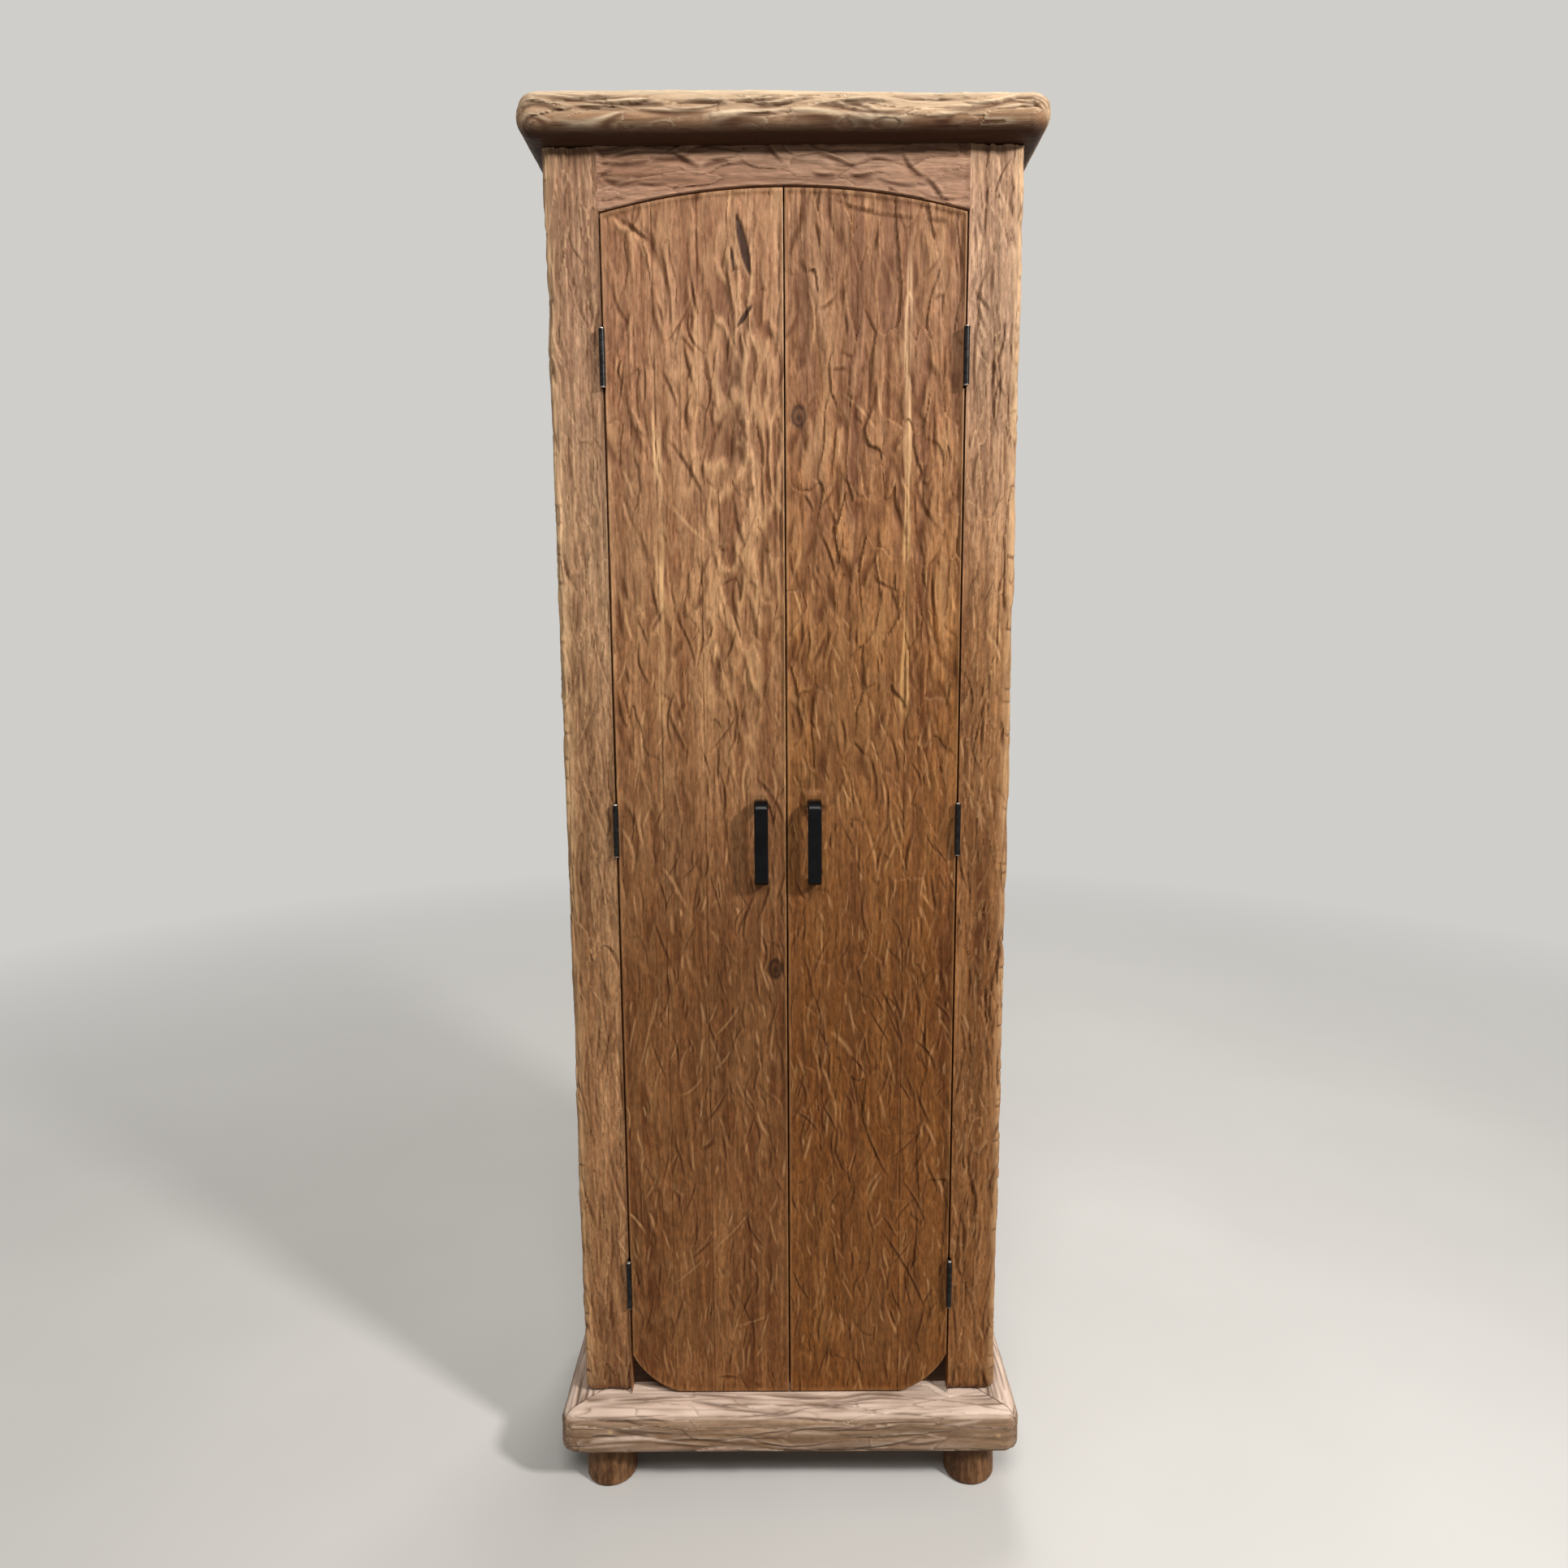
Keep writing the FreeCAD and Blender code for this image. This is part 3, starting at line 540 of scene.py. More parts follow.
# Patterns in the wood: how many to a metre, and how far drawn out along the grain
SWAY_SCALE = 3.0
SWAY_WIDTH = 0.014
STREAK_SCALE = 36.0
FIBRE_SCALE = 270.0
PORE_SCALE = 800.0
GRAIN_STRETCH = 0.055
FLECK_SCALE = 260.0
FLECK_STRETCH = 0.3
PATCH_SCALE = 7.0
PATCH_STRETCH = 0.4
WOOD_SHINE = 0.14
WOOD_GRIT = 0.0012
SAPWOOD_COLOUR = tone(220, 180, 136)
# Heights in metres between which the tints of carved wood change, and where they do, from 0 to 1
TINT_HEIGHTS = (0.2, 1.65)
TINT_STOPS = (0.0, 0.42, 0.72, 1.0)
FOOT_BRIGHTENING = 1.26


def drawn_out(grain, stretch):
    """Scale of a pattern that is drawn out along the grain."""
    scale = [1.0, 1.0, 1.0]
    scale[grain] = stretch
    return scale


def teak(
    name, grain, tones, dark_and_shade, grey, wear_and_highlight=None, tints=None, fibres=(0.70, 1.16), roughness=(0.50, 0.72),
    flecks=(0.84, 1.16), stain_and_shade=tone(50, 32, 27), shift=0.0,
):
    """Teak with streaks and fibres along the grain; with a colour for wear and highlights it is carved.

    tones are four colours from dark to pale. Carved wood is darker in the cuts, dirt with painted shade, and
    paler on the ridges, wear with painted highlights; tints, if given, deepen it: three colours for the
    lower, middle and upper height. A shift in metres gives a board another stretch of the same wood.
    """
    finish = Finish(name)
    place = finish.coordinates()
    if shift:
        moved = finish.node("ShaderNodeMapping", {"Vector": place, "Location": (shift, shift, shift)})
        place = moved.outputs["Vector"]
    sway = finish.speckle(place, SWAY_SCALE).outputs["Color"]
    bend = finish.node("ShaderNodeVectorMath", {0: sway, 1: (SWAY_WIDTH,) * 3}, operation="MULTIPLY")
    bent = finish.node("ShaderNodeVectorMath", {0: place, 1: bend.outputs[0]}, operation="ADD").outputs[0]
    along = finish.scaled(bent, drawn_out(grain, GRAIN_STRETCH))
    streak = finish.speckle(along, STREAK_SCALE, 5.0, 0.62).outputs["Fac"]
    fibre = finish.speckle(along, FIBRE_SCALE, 3.0, 0.65).outputs["Fac"]
    pore = finish.speckle(along, PORE_SCALE, 2.0, 0.5).outputs["Fac"]
    short = finish.scaled(bent, drawn_out(grain, FLECK_STRETCH))
    fleck = finish.speckle(short, FLECK_SCALE, 2.0, 0.7).outputs["Fac"]
    broad = finish.scaled(place, drawn_out(grain, PATCH_STRETCH))
    patch = finish.speckle(broad, PATCH_SCALE, 3.0).outputs["Fac"]
    colour = finish.ramp(streak, list(zip((0.34, 0.46, 0.55, 0.68), tones)))
    colour = finish.mixed(finish.spread(patch, 0.50, 0.72, 0.0, 0.55), colour, grey)
    fibre_shade = finish.spread(fibre, 0.3, 0.7, *fibres)
    fleck_shade = finish.spread(fleck, 0.3, 0.7, *flecks)
    shade = finish.times(fibre_shade, fleck_shade)
    shaded = finish.node("ShaderNodeVectorMath", {0: colour, "Scale": shade}, operation="SCALE")
    colour = shaded.outputs[0]
    colour = finish.mixed(finish.spread(pore, 0.60, 0.72, 0.0, 0.45), colour, dark_and_shade)
    if wear_and_highlight:
        carving = finish.node("ShaderNodeAttribute", attribute_name="carving")
        cut = finish.node("ShaderNodeSeparateColor", {"Color": carving.outputs["Color"]})
        # Painted highlights and painted shade from the carving, mixed in with wear, sapwood, dirt and stains
        colour = finish.mixed(finish.times(cut.outputs["Green"], 0.68), colour, wear_and_highlight)
        colour = finish.mixed(finish.times(carving.outputs["Alpha"], 0.85), colour, SAPWOOD_COLOUR)
        colour = finish.mixed(finish.times(cut.outputs["Red"], 0.85), colour, dark_and_shade)
        colour = finish.mixed(finish.times(cut.outputs["Blue"], 0.92), colour, stain_and_shade)
        if tints:
            height = finish.node("ShaderNodeSeparateXYZ", {"Vector": place}).outputs["Z"]
            foot_tint = [min(1.0, FOOT_BRIGHTENING * value) for value in tints[0]]
            stops = zip(TINT_STOPS, ((*tint, 1.0) for tint in (foot_tint, *tints)))
            tint = finish.ramp(finish.spread(height, *TINT_HEIGHTS), list(stops))
            tinted = finish.spread(cut.outputs["Green"], 0.0, 1.0, 1.0, 0.5)
            colour = finish.mixed(tinted, colour, tint, "MULTIPLY")
    finish.put(finish.shader.inputs["Base Color"], colour)
    finish.put(finish.shader.inputs["Roughness"], finish.spread(fibre, 0.3, 0.7, roughness[1], roughness[0]))
    finish.shader.inputs["Specular IOR Level"].default_value = WOOD_SHINE
    grit = finish.plus(finish.times(fibre, 0.6), finish.times(fleck, 0.5))
    finish.relief(finish.plus(grit, finish.times(pore, 0.3)), WOOD_GRIT, 0.7)
    return finish.material


def door_teak(name):
    tints = {
        "left": [(0.45, 0.345, 0.21), (0.86, 0.80, 0.66), (1.0, 1.0, 1.0)],
        "right": [(0.45, 0.33, 0.168), (0.79, 0.68, 0.46), (0.90, 0.90, 0.93)],
    }
    warm = {"left": tone(178, 134, 101), "right": tone(170, 122, 84)}
    return teak(
        f"door_teak_{name}", Z,
        [tone(134, 90, 64), tone(160, 115, 84), warm[name], tone(196, 151, 115)],
        dark_and_shade=tone(86, 48, 27), wear_and_highlight=tone(224, 182, 134), grey=tone(148, 112, 84),
        tints=tints[name], fibres=(0.64, 1.24), flecks=(0.68, 1.32),
    )


def frame_teak(name):
    tints = {
        "left": [(0.77, 0.65, 0.47), (1.0, 1.0, 0.88), (1.0, 1.0, 1.0)],
        "right": [(0.56, 0.40, 0.215), (0.70, 0.57, 0.37), (0.93, 0.94, 0.96)],
    }
    return teak(
        f"frame_teak_{name}", Z,
        [tone(122, 86, 64), tone(158, 120, 93), tone(176, 137, 109), tone(202, 163, 133)],
        dark_and_shade=tone(90, 56, 36), wear_and_highlight=tone(232, 194, 150), grey=tone(150, 120, 95),
        tints=tints[name], fibres=(0.64, 1.24), flecks=(0.68, 1.32),
    )


def rail_teak():
    return teak(
        "rail_teak", X,
        [tone(122, 87, 65), tone(151, 113, 89), tone(165, 127, 102), tone(181, 145, 119)],
        dark_and_shade=tone(78, 47, 32), wear_and_highlight=tone(196, 161, 132), grey=tone(136, 109, 90),
    )


def slab_teak():
    return teak(
        "slab_teak", X,
        [tone(154, 117, 87), tone(176, 141, 109), tone(189, 154, 121), tone(206, 172, 137)],
        # The pale colour is mostly the painted highlight on the slab's top; the stain colour is the painted
        # shade of its underside
        dark_and_shade=tone(74, 44, 27), wear_and_highlight=tone(250, 229, 196), grey=tone(160, 130, 106),
        fibres=(0.86, 1.08), flecks=(0.92, 1.08), stain_and_shade=tone(40, 9, 0),
    )


# The pale colour gives painted highlights on the tops of the boards, and wear on ridges
def plinth_teak(name, grain, wear_and_highlight=tone(255, 230, 212)):
    return teak(
        name, grain,
        [tone(116, 89, 65), tone(143, 112, 85), tone(156, 125, 97), tone(173, 142, 115)],
        dark_and_shade=tone(88, 62, 43), grey=tone(152, 129, 108), wear_and_highlight=wear_and_highlight,
        fibres=(0.84, 1.08),
    )


def foot_teak():
    return teak(
        "foot_teak", Z,
        [tone(92, 61, 40), tone(122, 85, 56), tone(137, 98, 66), tone(158, 118, 83)],
        dark_and_shade=tone(60, 39, 25), wear_and_highlight=tone(160, 121, 87), grey=tone(104, 80, 61),
    )


def planed_teak(name, grain, shade=1.0, shift=0.0):
    """Smooth inner boards."""
    tones = [(104, 70, 46), (130, 91, 61), (146, 104, 71), (166, 122, 86)]
    return teak(
        name, grain,
        [tone(*(shade * value for value in colour)) for colour in tones],
        dark_and_shade=tone(80, 51, 33), grey=tone(122, 93, 70),
        roughness=(0.42, 0.6), shift=shift,
    )


def shaded_recess_teak(name, grain):
    """Boards behind the doors, at their foot and head, coloured dark as painted shade in the recess."""
    return teak(
        name, grain,
        [tone(56, 39, 29), tone(66, 47, 35), tone(74, 53, 39), tone(86, 63, 47)],
        dark_and_shade=tone(42, 28, 20), grey=tone(66, 51, 41),
        roughness=(0.42, 0.6),
    )


def metal(name, dark, pale, metallic, roughness, grain_scale, dent, specular=0.5):
    """Cast or pressed metal with a slightly uneven surface."""
    finish = Finish(name)
    place = finish.coordinates()
    cloud = finish.speckle(place, grain_scale, 4.0, 0.6).outputs["Fac"]
    fine = finish.speckle(place, grain_scale * 9, 2.0, 0.6).outputs["Fac"]
    finish.put(finish.shader.inputs["Base Color"], finish.ramp(cloud, [(0.35, dark), (0.70, pale)]))
    finish.put(finish.shader.inputs["Roughness"], finish.spread(fine, 0.3, 0.7, *roughness))
    finish.shader.inputs["Metallic"].default_value = metallic
    finish.shader.inputs["Specular IOR Level"].default_value = specular
    finish.relief(finish.plus(cloud, finish.times(fine, 0.3)), dent, 0.4)
    return finish.material


def black_iron():
    return metal(
        "black_iron", tone(6, 6, 8), tone(14, 14, 17), metallic=0.0, roughness=(0.16, 0.26),
        grain_scale=60.0, dent=0.0003, specular=0.12,
    )


def hinge_iron():
    return metal(
        "hinge_iron", tone(14, 13, 13), tone(44, 42, 42), metallic=0.6, roughness=(0.25, 0.45),
        grain_scale=160.0, dent=0.0003, specular=0.3,
    )


def screw_steel():
    return metal(
        "screw_steel", tone(120, 118, 114), tone(170, 168, 164), metallic=1.0, roughness=(0.25, 0.42),
        grain_scale=300.0, dent=0.0001,
    )


def pin_steel():
    return metal(
        "pin_steel", tone(150, 140, 132), tone(206, 198, 190), metallic=0.9, roughness=(0.3, 0.5),
        grain_scale=300.0, dent=0.0001,
    )


def strike_steel():
    return metal(
        "strike_steel", tone(108, 106, 103), tone(142, 140, 136), metallic=1.0, roughness=(0.3, 0.45),
        grain_scale=260.0, dent=0.0001,
    )


def moulded_plastic():
    finish = Finish("catch_plastic")
    place = finish.coordinates()
    fine = finish.speckle(place, 900.0, 2.0).outputs["Fac"]
    colours = [(0.3, tone(96, 66, 44)), (0.7, tone(112, 80, 54))]
    finish.put(finish.shader.inputs["Base Color"], finish.ramp(fine, colours))
    finish.put(finish.shader.inputs["Roughness"], finish.spread(fine, 0.3, 0.7, 0.48, 0.6))
    finish.relief(fine, 0.0001, 0.3)
    return finish.material


# Distances from the object, in metres, between which the floor turns into the backdrop
FLOOR_FADE = (0.9, 4.0)


def floor_finish(backdrop):
    """A pale floor that turns into the backdrop far from the object, to the eye only."""
    finish = Finish("pale_floor")
    place = finish.coordinates()
    cloud = finish.speckle(place, 1.4, 4.0).outputs["Fac"]
    colours = [(0.3, tone(206, 204, 200)), (0.7, tone(214, 212, 208))]
    finish.shader.inputs["Roughness"].default_value = 0.85
    far = finish.node("ShaderNodeVectorMath", {0: place}, operation="LENGTH").outputs["Value"]
    path = finish.node("ShaderNodeLightPath").outputs
    seen = finish.greater(path["Is Camera Ray"], path["Is Glossy Ray"])
    shown = finish.mixed(seen, tone(152, 150, 147), finish.ramp(cloud, colours))
    finish.put(finish.shader.inputs["Base Color"], shown)
    share = finish.times(finish.spread(far, *FLOOR_FADE), seen)
    glow = finish.node("ShaderNodeEmission", {"Color": backdrop, "Strength": 1.0})
    blend = finish.node("ShaderNodeMixShader", {0: share, 1: finish.shader.outputs[0], 2: glow.outputs[0]})
    finish.put(finish.tree.nodes["Material Output"].inputs["Surface"], blend.outputs[0])
    return finish.material


# Doors
def door_top(x):
    """The door's upper edge, a little under the arch."""
    return ARCH_CENTRE + np.sqrt((ARCH_RADIUS - DOOR_TOP_GAP) ** 2 - x ** 2)


def door_foot(x):
    """The door's lower edge, rising in a bow at the outer corner."""
    half_chord = math.hypot(DOOR_CORNER_WIDTH, DOOR_CORNER_HEIGHT) / 2
    radius = (half_chord ** 2 + DOOR_CORNER_BOW ** 2) / (2 * DOOR_CORNER_BOW)
    reach = (radius - DOOR_CORNER_BOW) / (2 * half_chord)
    centre_in = DOOR_CORNER_WIDTH / 2 + reach * DOOR_CORNER_HEIGHT
    centre_up = DOOR_CORNER_HEIGHT / 2 + reach * DOOR_CORNER_WIDTH
    inward = np.clip(DOOR_OUTER - np.abs(x), 0, DOOR_CORNER_WIDTH)
    return DOOR_BOTTOM + centre_up - np.sqrt(radius ** 2 - (inward - centre_in) ** 2)


# Cuts on the doors that stand out: from and to as x, z, then width, depth and bend
DARK_CUTS = {
    "left": [
        (-223, 1780, -165, 1737, 2.6, 2.4, 2),
        (-201, 1776, -167, 1744, 2.2, 1.8, -5),
        (-114, 1683, -154, 1618, 2.2, 1.8, 4),
        (-165, 1735, -145, 1640, 2.6, 1.8, 6),
        (-133, 1628, -117, 1608, 2.4, 1.8, 2),
        (-150, 1500, -107, 1429, 2.6, 2.2, 3),
        (-158, 1588, -138, 1536, 2.2, 1.8, 2),
        (-84, 1314, -64, 1324, 2.4, 1.8, 2),
        (-106, 538, -124, 522, 3.4, 2.2, 2),
        (-106, 165, -74, 163, 2.4, 1.2, 1),
    ],
    "right": [
        (61, 1585, 82, 1586, 2.6, 2.4, 2),
        (23, 1433, 36, 1407, 2.4, 2.0, 2),
        (72, 1458, 43, 1411, 2.6, 1.8, 3),
        (57, 1415, 65, 1378, 3.0, 2.2, 3),
        (45, 1383, 67, 1319, 2.2, 2.0, 3),
        (77, 1452, 87, 1419, 2.4, 2.0, 3),
        (110, 1332, 151, 1307, 2.2, 1.8, -4),
        (169, 1438, 185, 1469, 4.0, 2.8, 1),
        (172, 1373, 179, 1351, 2.6, 2.0, 2),
        (203, 1733, 172, 1692, 2.8, 2.2, 2),
        (116, 1753, 115, 1725, 4.0, 2.4, 1),
        (72, 1684, 42, 1658, 2.6, 2.0, 3),
        (7, 1719, 24, 1772, 5.0, 2.6, 3),
        (55, 1791, 167, 1767, 3.0, 2.4, -3),
        (191, 1670, 202, 1679, 2.6, 2.0, 1),
        (176, 1724, 176, 1764, 3.6, 2.4, 2),
        (211, 1764, 211, 1724, 3.6, 2.4, 2),
        (172, 1762, 214, 1762, 3.4, 2.2, 4),
        (101, 585, 144, 476, 1.9, 1.4, -4),
        (6, 581, 42, 548, 1.8, 1.2, 5),
        (46, 590, 70, 543, 1.7, 1.2, 3),
        (200, 495, 214, 452, 1.7, 1.2, 2),
        (132, 399, 204, 256, 2.0, 1.5, 6),
        (162, 476, 199, 404, 1.8, 1.2, 3),
        (57, 424, 75, 460, 1.7, 1.2, 3),
        (181, 618, 204, 557, 1.9, 1.3, -3),
        (88, 662, 112, 630, 1.8, 1.2, 2),
        (173, 687, 207, 636, 2.2, 1.5, 9),
        (203, 742, 228, 714, 1.9, 1.3, 2),
    ],
}
PALE_CUTS = {
    "left": [
        (-210, 1464, -198, 1430, 2.2, 0.8, 1),
        (-151, 1424, -96, 1368, 2.4, 0.8, -4),
        (-76, 1583, -53, 1520, 4.0, 0.9, 2),
        (-185, 753, -212, 634, 1.7, 0.6, 2),
        (-67, 739, -103, 693, 1.7, 0.6, 3),
        (-77, 677, -104, 642, 1.7, 0.6, 2),
        (-110, 693, -93, 638, 1.9, 0.6, 2),
        (-73, 633, -47, 581, 1.7, 0.6, -4),
        (-122, 633, -153, 605, 1.8, 0.6, 5),
        (-169, 473, -149, 453, 2.6, 0.6, -3),
        (-17, 458, -30, 424, 2.0, 0.6, 4),
        (-48, 438, -112, 366, 1.6, 0.6, 3),
        (-122, 356, -166, 317, 1.5, 0.6, 2),
        (-32, 264, -78, 247, 1.5, 0.6, 2),
    ],
    "right": [(73, 1560, 120, 1508, 2.0, 0.7, 4), (60, 700, 92, 660, 3.6, 0.6, 3)],
}
# Dark holes in the doors: from and to as x, z, then width and depth
CAVITIES = {
    "left": [
        (-60, 1775, -43, 1702, 6.0, 4.5),
        (-67, 1737, -64, 1707, 2.6, 3.0),
        (-61, 1638, -40, 1668, 3.6, 3.0),
    ],
    "right": [],
}
# Knots: middle as x, z, half width and half height
KNOTS = {
    "left": [(-17, 790, 8, 12)],
    "right": [(18, 1530, 8, 11.5)],
}
# Pale ribbons of sapwood: middle, half width, lower and upper end
SAPWOOD = {
    "left": (-165, 4.4, 1120, 1560),
    "right": (159, 4.2, 1110, 1750),
}
DOOR_SEED = {"left": 21, "right": 42}
# Lean of the furrows towards ridges, above 0, or creases, below 0
RIDGED_LEAN = {"left": 0.2, "right": -0.4}
# Chips on the doors: width, length, depth and strength of tint
CHIPS = {"left": (17, 76, 1.9, 0.52), "right": (21, 90, 3.2, 0.72)}
CHIP_WALL = {"left": 3.2, "right": 5.5}
# Furrows on the doors: width, length, and tint low down and what it gains higher up
FURROWS = {"left": (22, 85, 0.3, 0.38), "right": (24, 125, 0.3, 0.5)}
# Heights between which the furrows and chips grow deeper
UPPER_CARVING = (900, 1250)
# Chance cuts on the doors: how many of each kind, and the height that they start from or reach
SCOOPS = {"left": 30, "right": 50}
SCOOPS_FROM = 1050
CRACKS = {"left": 60, "right": 34}
CRACKS_FROM = 950
NICKS = {"left": 320, "right": 430}
NICKS_TO = 1350
LOW_CUTS = {"left": 70, "right": 110}
LOW_CUTS_RISE = 60
LOW_CUTS_TO = 1000
# Soft darker places: middle as x, z, half width, half height and strength
SHADES = {
    "left": [
        (-24, 470, 7, 330, 0.6),
        (-62, 1570, 24, 80, 0.3),
        (-150, 700, 26, 90, 0.3),
        (-60, 300, 9, 120, 0.35),
    ],
    "right": [(90, 690, 14, 120, 0.4), (125, 1710, 160, 170, 0.9), (60, 900, 30, 60, 0.25)],
}
# Soft grey weathered places, as above
WEATHERED = {
    "left": [(-66, 1570, 22, 120, 0.34), (-60, 1740, 16, 60, 0.2), (-150, 960, 26, 90, 0.22)],
    "right": [(30, 1050, 26, 40, 0.3)],
}
# Width of the worn edges of doors and frame, and of the flat wood round a handle's ends
WORN_EDGE = 1.5
HANDLE_PAD = 9.0


def plank_edges(name):
    """How far each plank of a door reaches from the middle of the cupboard, from the stile inwards."""
    count = sum(node.startswith(f"door_{name}_plank") for node in nodes)
    boxes = [corners(f"door_{name}_plank_{number + 1}") for number in range(count)]
    return [max(abs(low[X]), abs(high[X])) for low, high in boxes]


def door_edge_distance(x, z):
    """How far a place on a door is from the door's nearest edge."""
    sides = np.minimum(DOOR_OUTER - np.abs(x), np.abs(x) - DOOR_INNER)
    return np.minimum(sides, np.minimum(door_top(x) - z, z - door_foot(x)))


def clear_of_handle(name, x, z):
    """0 under the handle's two ends, which sit on uncarved wood, and 1 away from them."""
    low, high = corners(f"handle_{name}")
    middle = (low + high) / 2
    beside = np.abs(x - middle[X]) - (high[X] - low[X]) / 2
    ends = np.minimum(np.abs(z - low[Z]), np.abs(z - high[Z])) - HANDLE_PAD / 2
    return step(np.maximum(beside, ends), 1.0, HANDLE_PAD)


def sapwood_ribbon(carving, x, z, middle, half_width, low, high):
    """A pale upright ribbon that wanders, and fades at its two ends."""
    centre = middle + 3.0 * wave(z / 130, 41)
    half = half_width * (1.0 + 0.8 * wave(z / 90, 42))
    ends = step(z, low, low + 60) * step(-z, -high, 60 - high)
    patchy = step(noise(carving.cells(9, 75, 43)), -0.5, 0.3)
    ribbon = ends * step(half - np.abs(x - centre), -1.0, 1.6) * (0.25 + 0.75 * patchy)
    carving.mark("sapwood", ribbon)


def let_in(points, door, name):
    """Draws the wood back where the hinge leaves are let into its edge."""
    side = SIDES[name]
    edge = DOOR_OUTER if door else OPENING_HALF
    kind = "door" if door else "frame"
    on_edge = np.abs(side * points[:, X] - edge) < TOUCH
    for level in ("top", "middle", "bottom"):
        low, high = corners(f"hinge_{level}_{name}_{kind}_leaf")
        leaf_back = low[X] if door == (side > 0) else high[X]
        inside = on_edge & (points[:, Y] < high[Y] + 0.3)
        inside &= np.abs(points[:, Z] - (low[Z] + high[Z]) / 2) < (high[Z] - low[Z]) / 2 + DOOR_STEP
        points[inside, X] = leaf_back


def hew_door(carving, name, x, z):
    """Furrows and chips all over a door, deeper in its upper part."""
    seed = DOOR_SEED[name]
    upper = step(z, *UPPER_CARVING)
    patches = noise(carving.cells(90, 210, seed + 5))
    ridged = np.clip(0.5 + RIDGED_LEAN[name] + 0.9 * patches, 0, 1)
    carving.swell(across=55, along=330, depth=1.2, seed=seed)
    width, length, tint, gain = FURROWS[name]
    carving.flames(
        width, length, depth=1.2 + 2.2 * upper, seed=seed + 1,
        ridged=ridged, tint=tint + gain * upper, broad=0.5,
    )
    carving.flames(across=6, along=50, depth=0.6 + 0.2 * upper, seed=seed + 2, tint=0.3)
    width, length, depth, tint = CHIPS[name]
    carved = 0.55 + 0.45 * upper
    carving.chips(
        x, z, width, length, depth * carved, seed + 3, tint=tint * carved, wall=CHIP_WALL[name], rim=0.5,
    )
    carving.chips(
        x, z, 0.5 * width, 0.6 * length, 0.3 * depth * carved, seed + 4, tint=0.4 * tint * carved, wall=1.6,
    )


def nick_door(carving, name, x, z):
    """Chance cuts: scoops and cracks in the upper part, nicks and fine cuts in the lower."""
    seed = DOOR_SEED[name]
    left, right = sorted((SIDES[name] * DOOR_INNER, SIDES[name] * DOOR_OUTER))
    crown = ARCH_SPRING + ARCH_RISE
    scatter_gouges(
        carving, x, z, seed, SCOOPS[name], low=(left, SCOOPS_FROM), high=(right, crown),
        lengths=(24, 80), widths=(2.6, 5.4), depths=(0.9, 2.6), lean=0.28, pale=0.0, soft=1.0, curl=0.1,
    )
    scatter_gouges(
        carving, x, z, seed + 1, CRACKS[name], low=(left, CRACKS_FROM), high=(right, crown),
        lengths=(24, 84), widths=(1.5, 3.0), depths=(1.0, 2.2), lean=0.26, pale=0.25, soft=0.4, curl=0.08,
    )
    scatter_gouges(
        carving, x, z, seed + 2, NICKS[name], low=(left, DOOR_BOTTOM), high=(right, NICKS_TO),
        lengths=(10, 54), widths=(0.8, 2.4), depths=(0.6, 1.4), lean=0.28, pale=0.8, curl=0.05,
    )
    scatter_gouges(
        carving, x, z, seed + 3, LOW_CUTS[name],
        low=(left, DOOR_BOTTOM + LOW_CUTS_RISE), high=(right, LOW_CUTS_TO),
        lengths=(20, 76), widths=(1.1, 2.2), depths=(0.6, 1.3), lean=0.3, pale=0.0, soft=0.3, curl=0.08,
    )


def mark_door(carving, name, x, z):
    """The places on a door that stand out."""
    seed = DOOR_SEED[name]
    ragged = 0.6 + 0.6 * noise(carving.cells(13, 60, seed + 7))
    for x0, z0, half_width, half_height, strength in SHADES[name]:
        carving.mark("dark_and_shade", bump(x, x0, half_width) * bump(z, z0, half_height) * strength * ragged)
    ragged = 0.7 + 0.5 * noise(carving.cells(6, 70, seed + 9))
    for x0, z0, half_width, half_height, strength in WEATHERED[name]:
        carving.mark("stain_and_shade", bump(x, x0, half_width) * bump(z, z0, half_height) * strength * ragged)
    for x0, z0, x1, z1, width, depth, bend in DARK_CUTS[name]:
        carving.gouge(x, z, (x0, z0), (x1, z1), width, depth, bend, soft=0.4)
    for x0, z0, x1, z1, width, depth, bend in PALE_CUTS[name]:
        carving.gouge(x, z, (x0, z0), (x1, z1), width, depth, bend, pale=0.7)
    for x0, z0, x1, z1, width, depth in CAVITIES[name]:
        carving.cavity(x, z, (x0, z0), (x1, z1), width, depth)
    for x0, z0, half_width, half_height in KNOTS[name]:
        carving.knot(x, z, (x0, z0), half_width, half_height)
    sapwood_ribbon(carving, x, z, *SAPWOOD[name])
    carving.dark_and_shade *= 1 - 0.7 * carving.sapwood


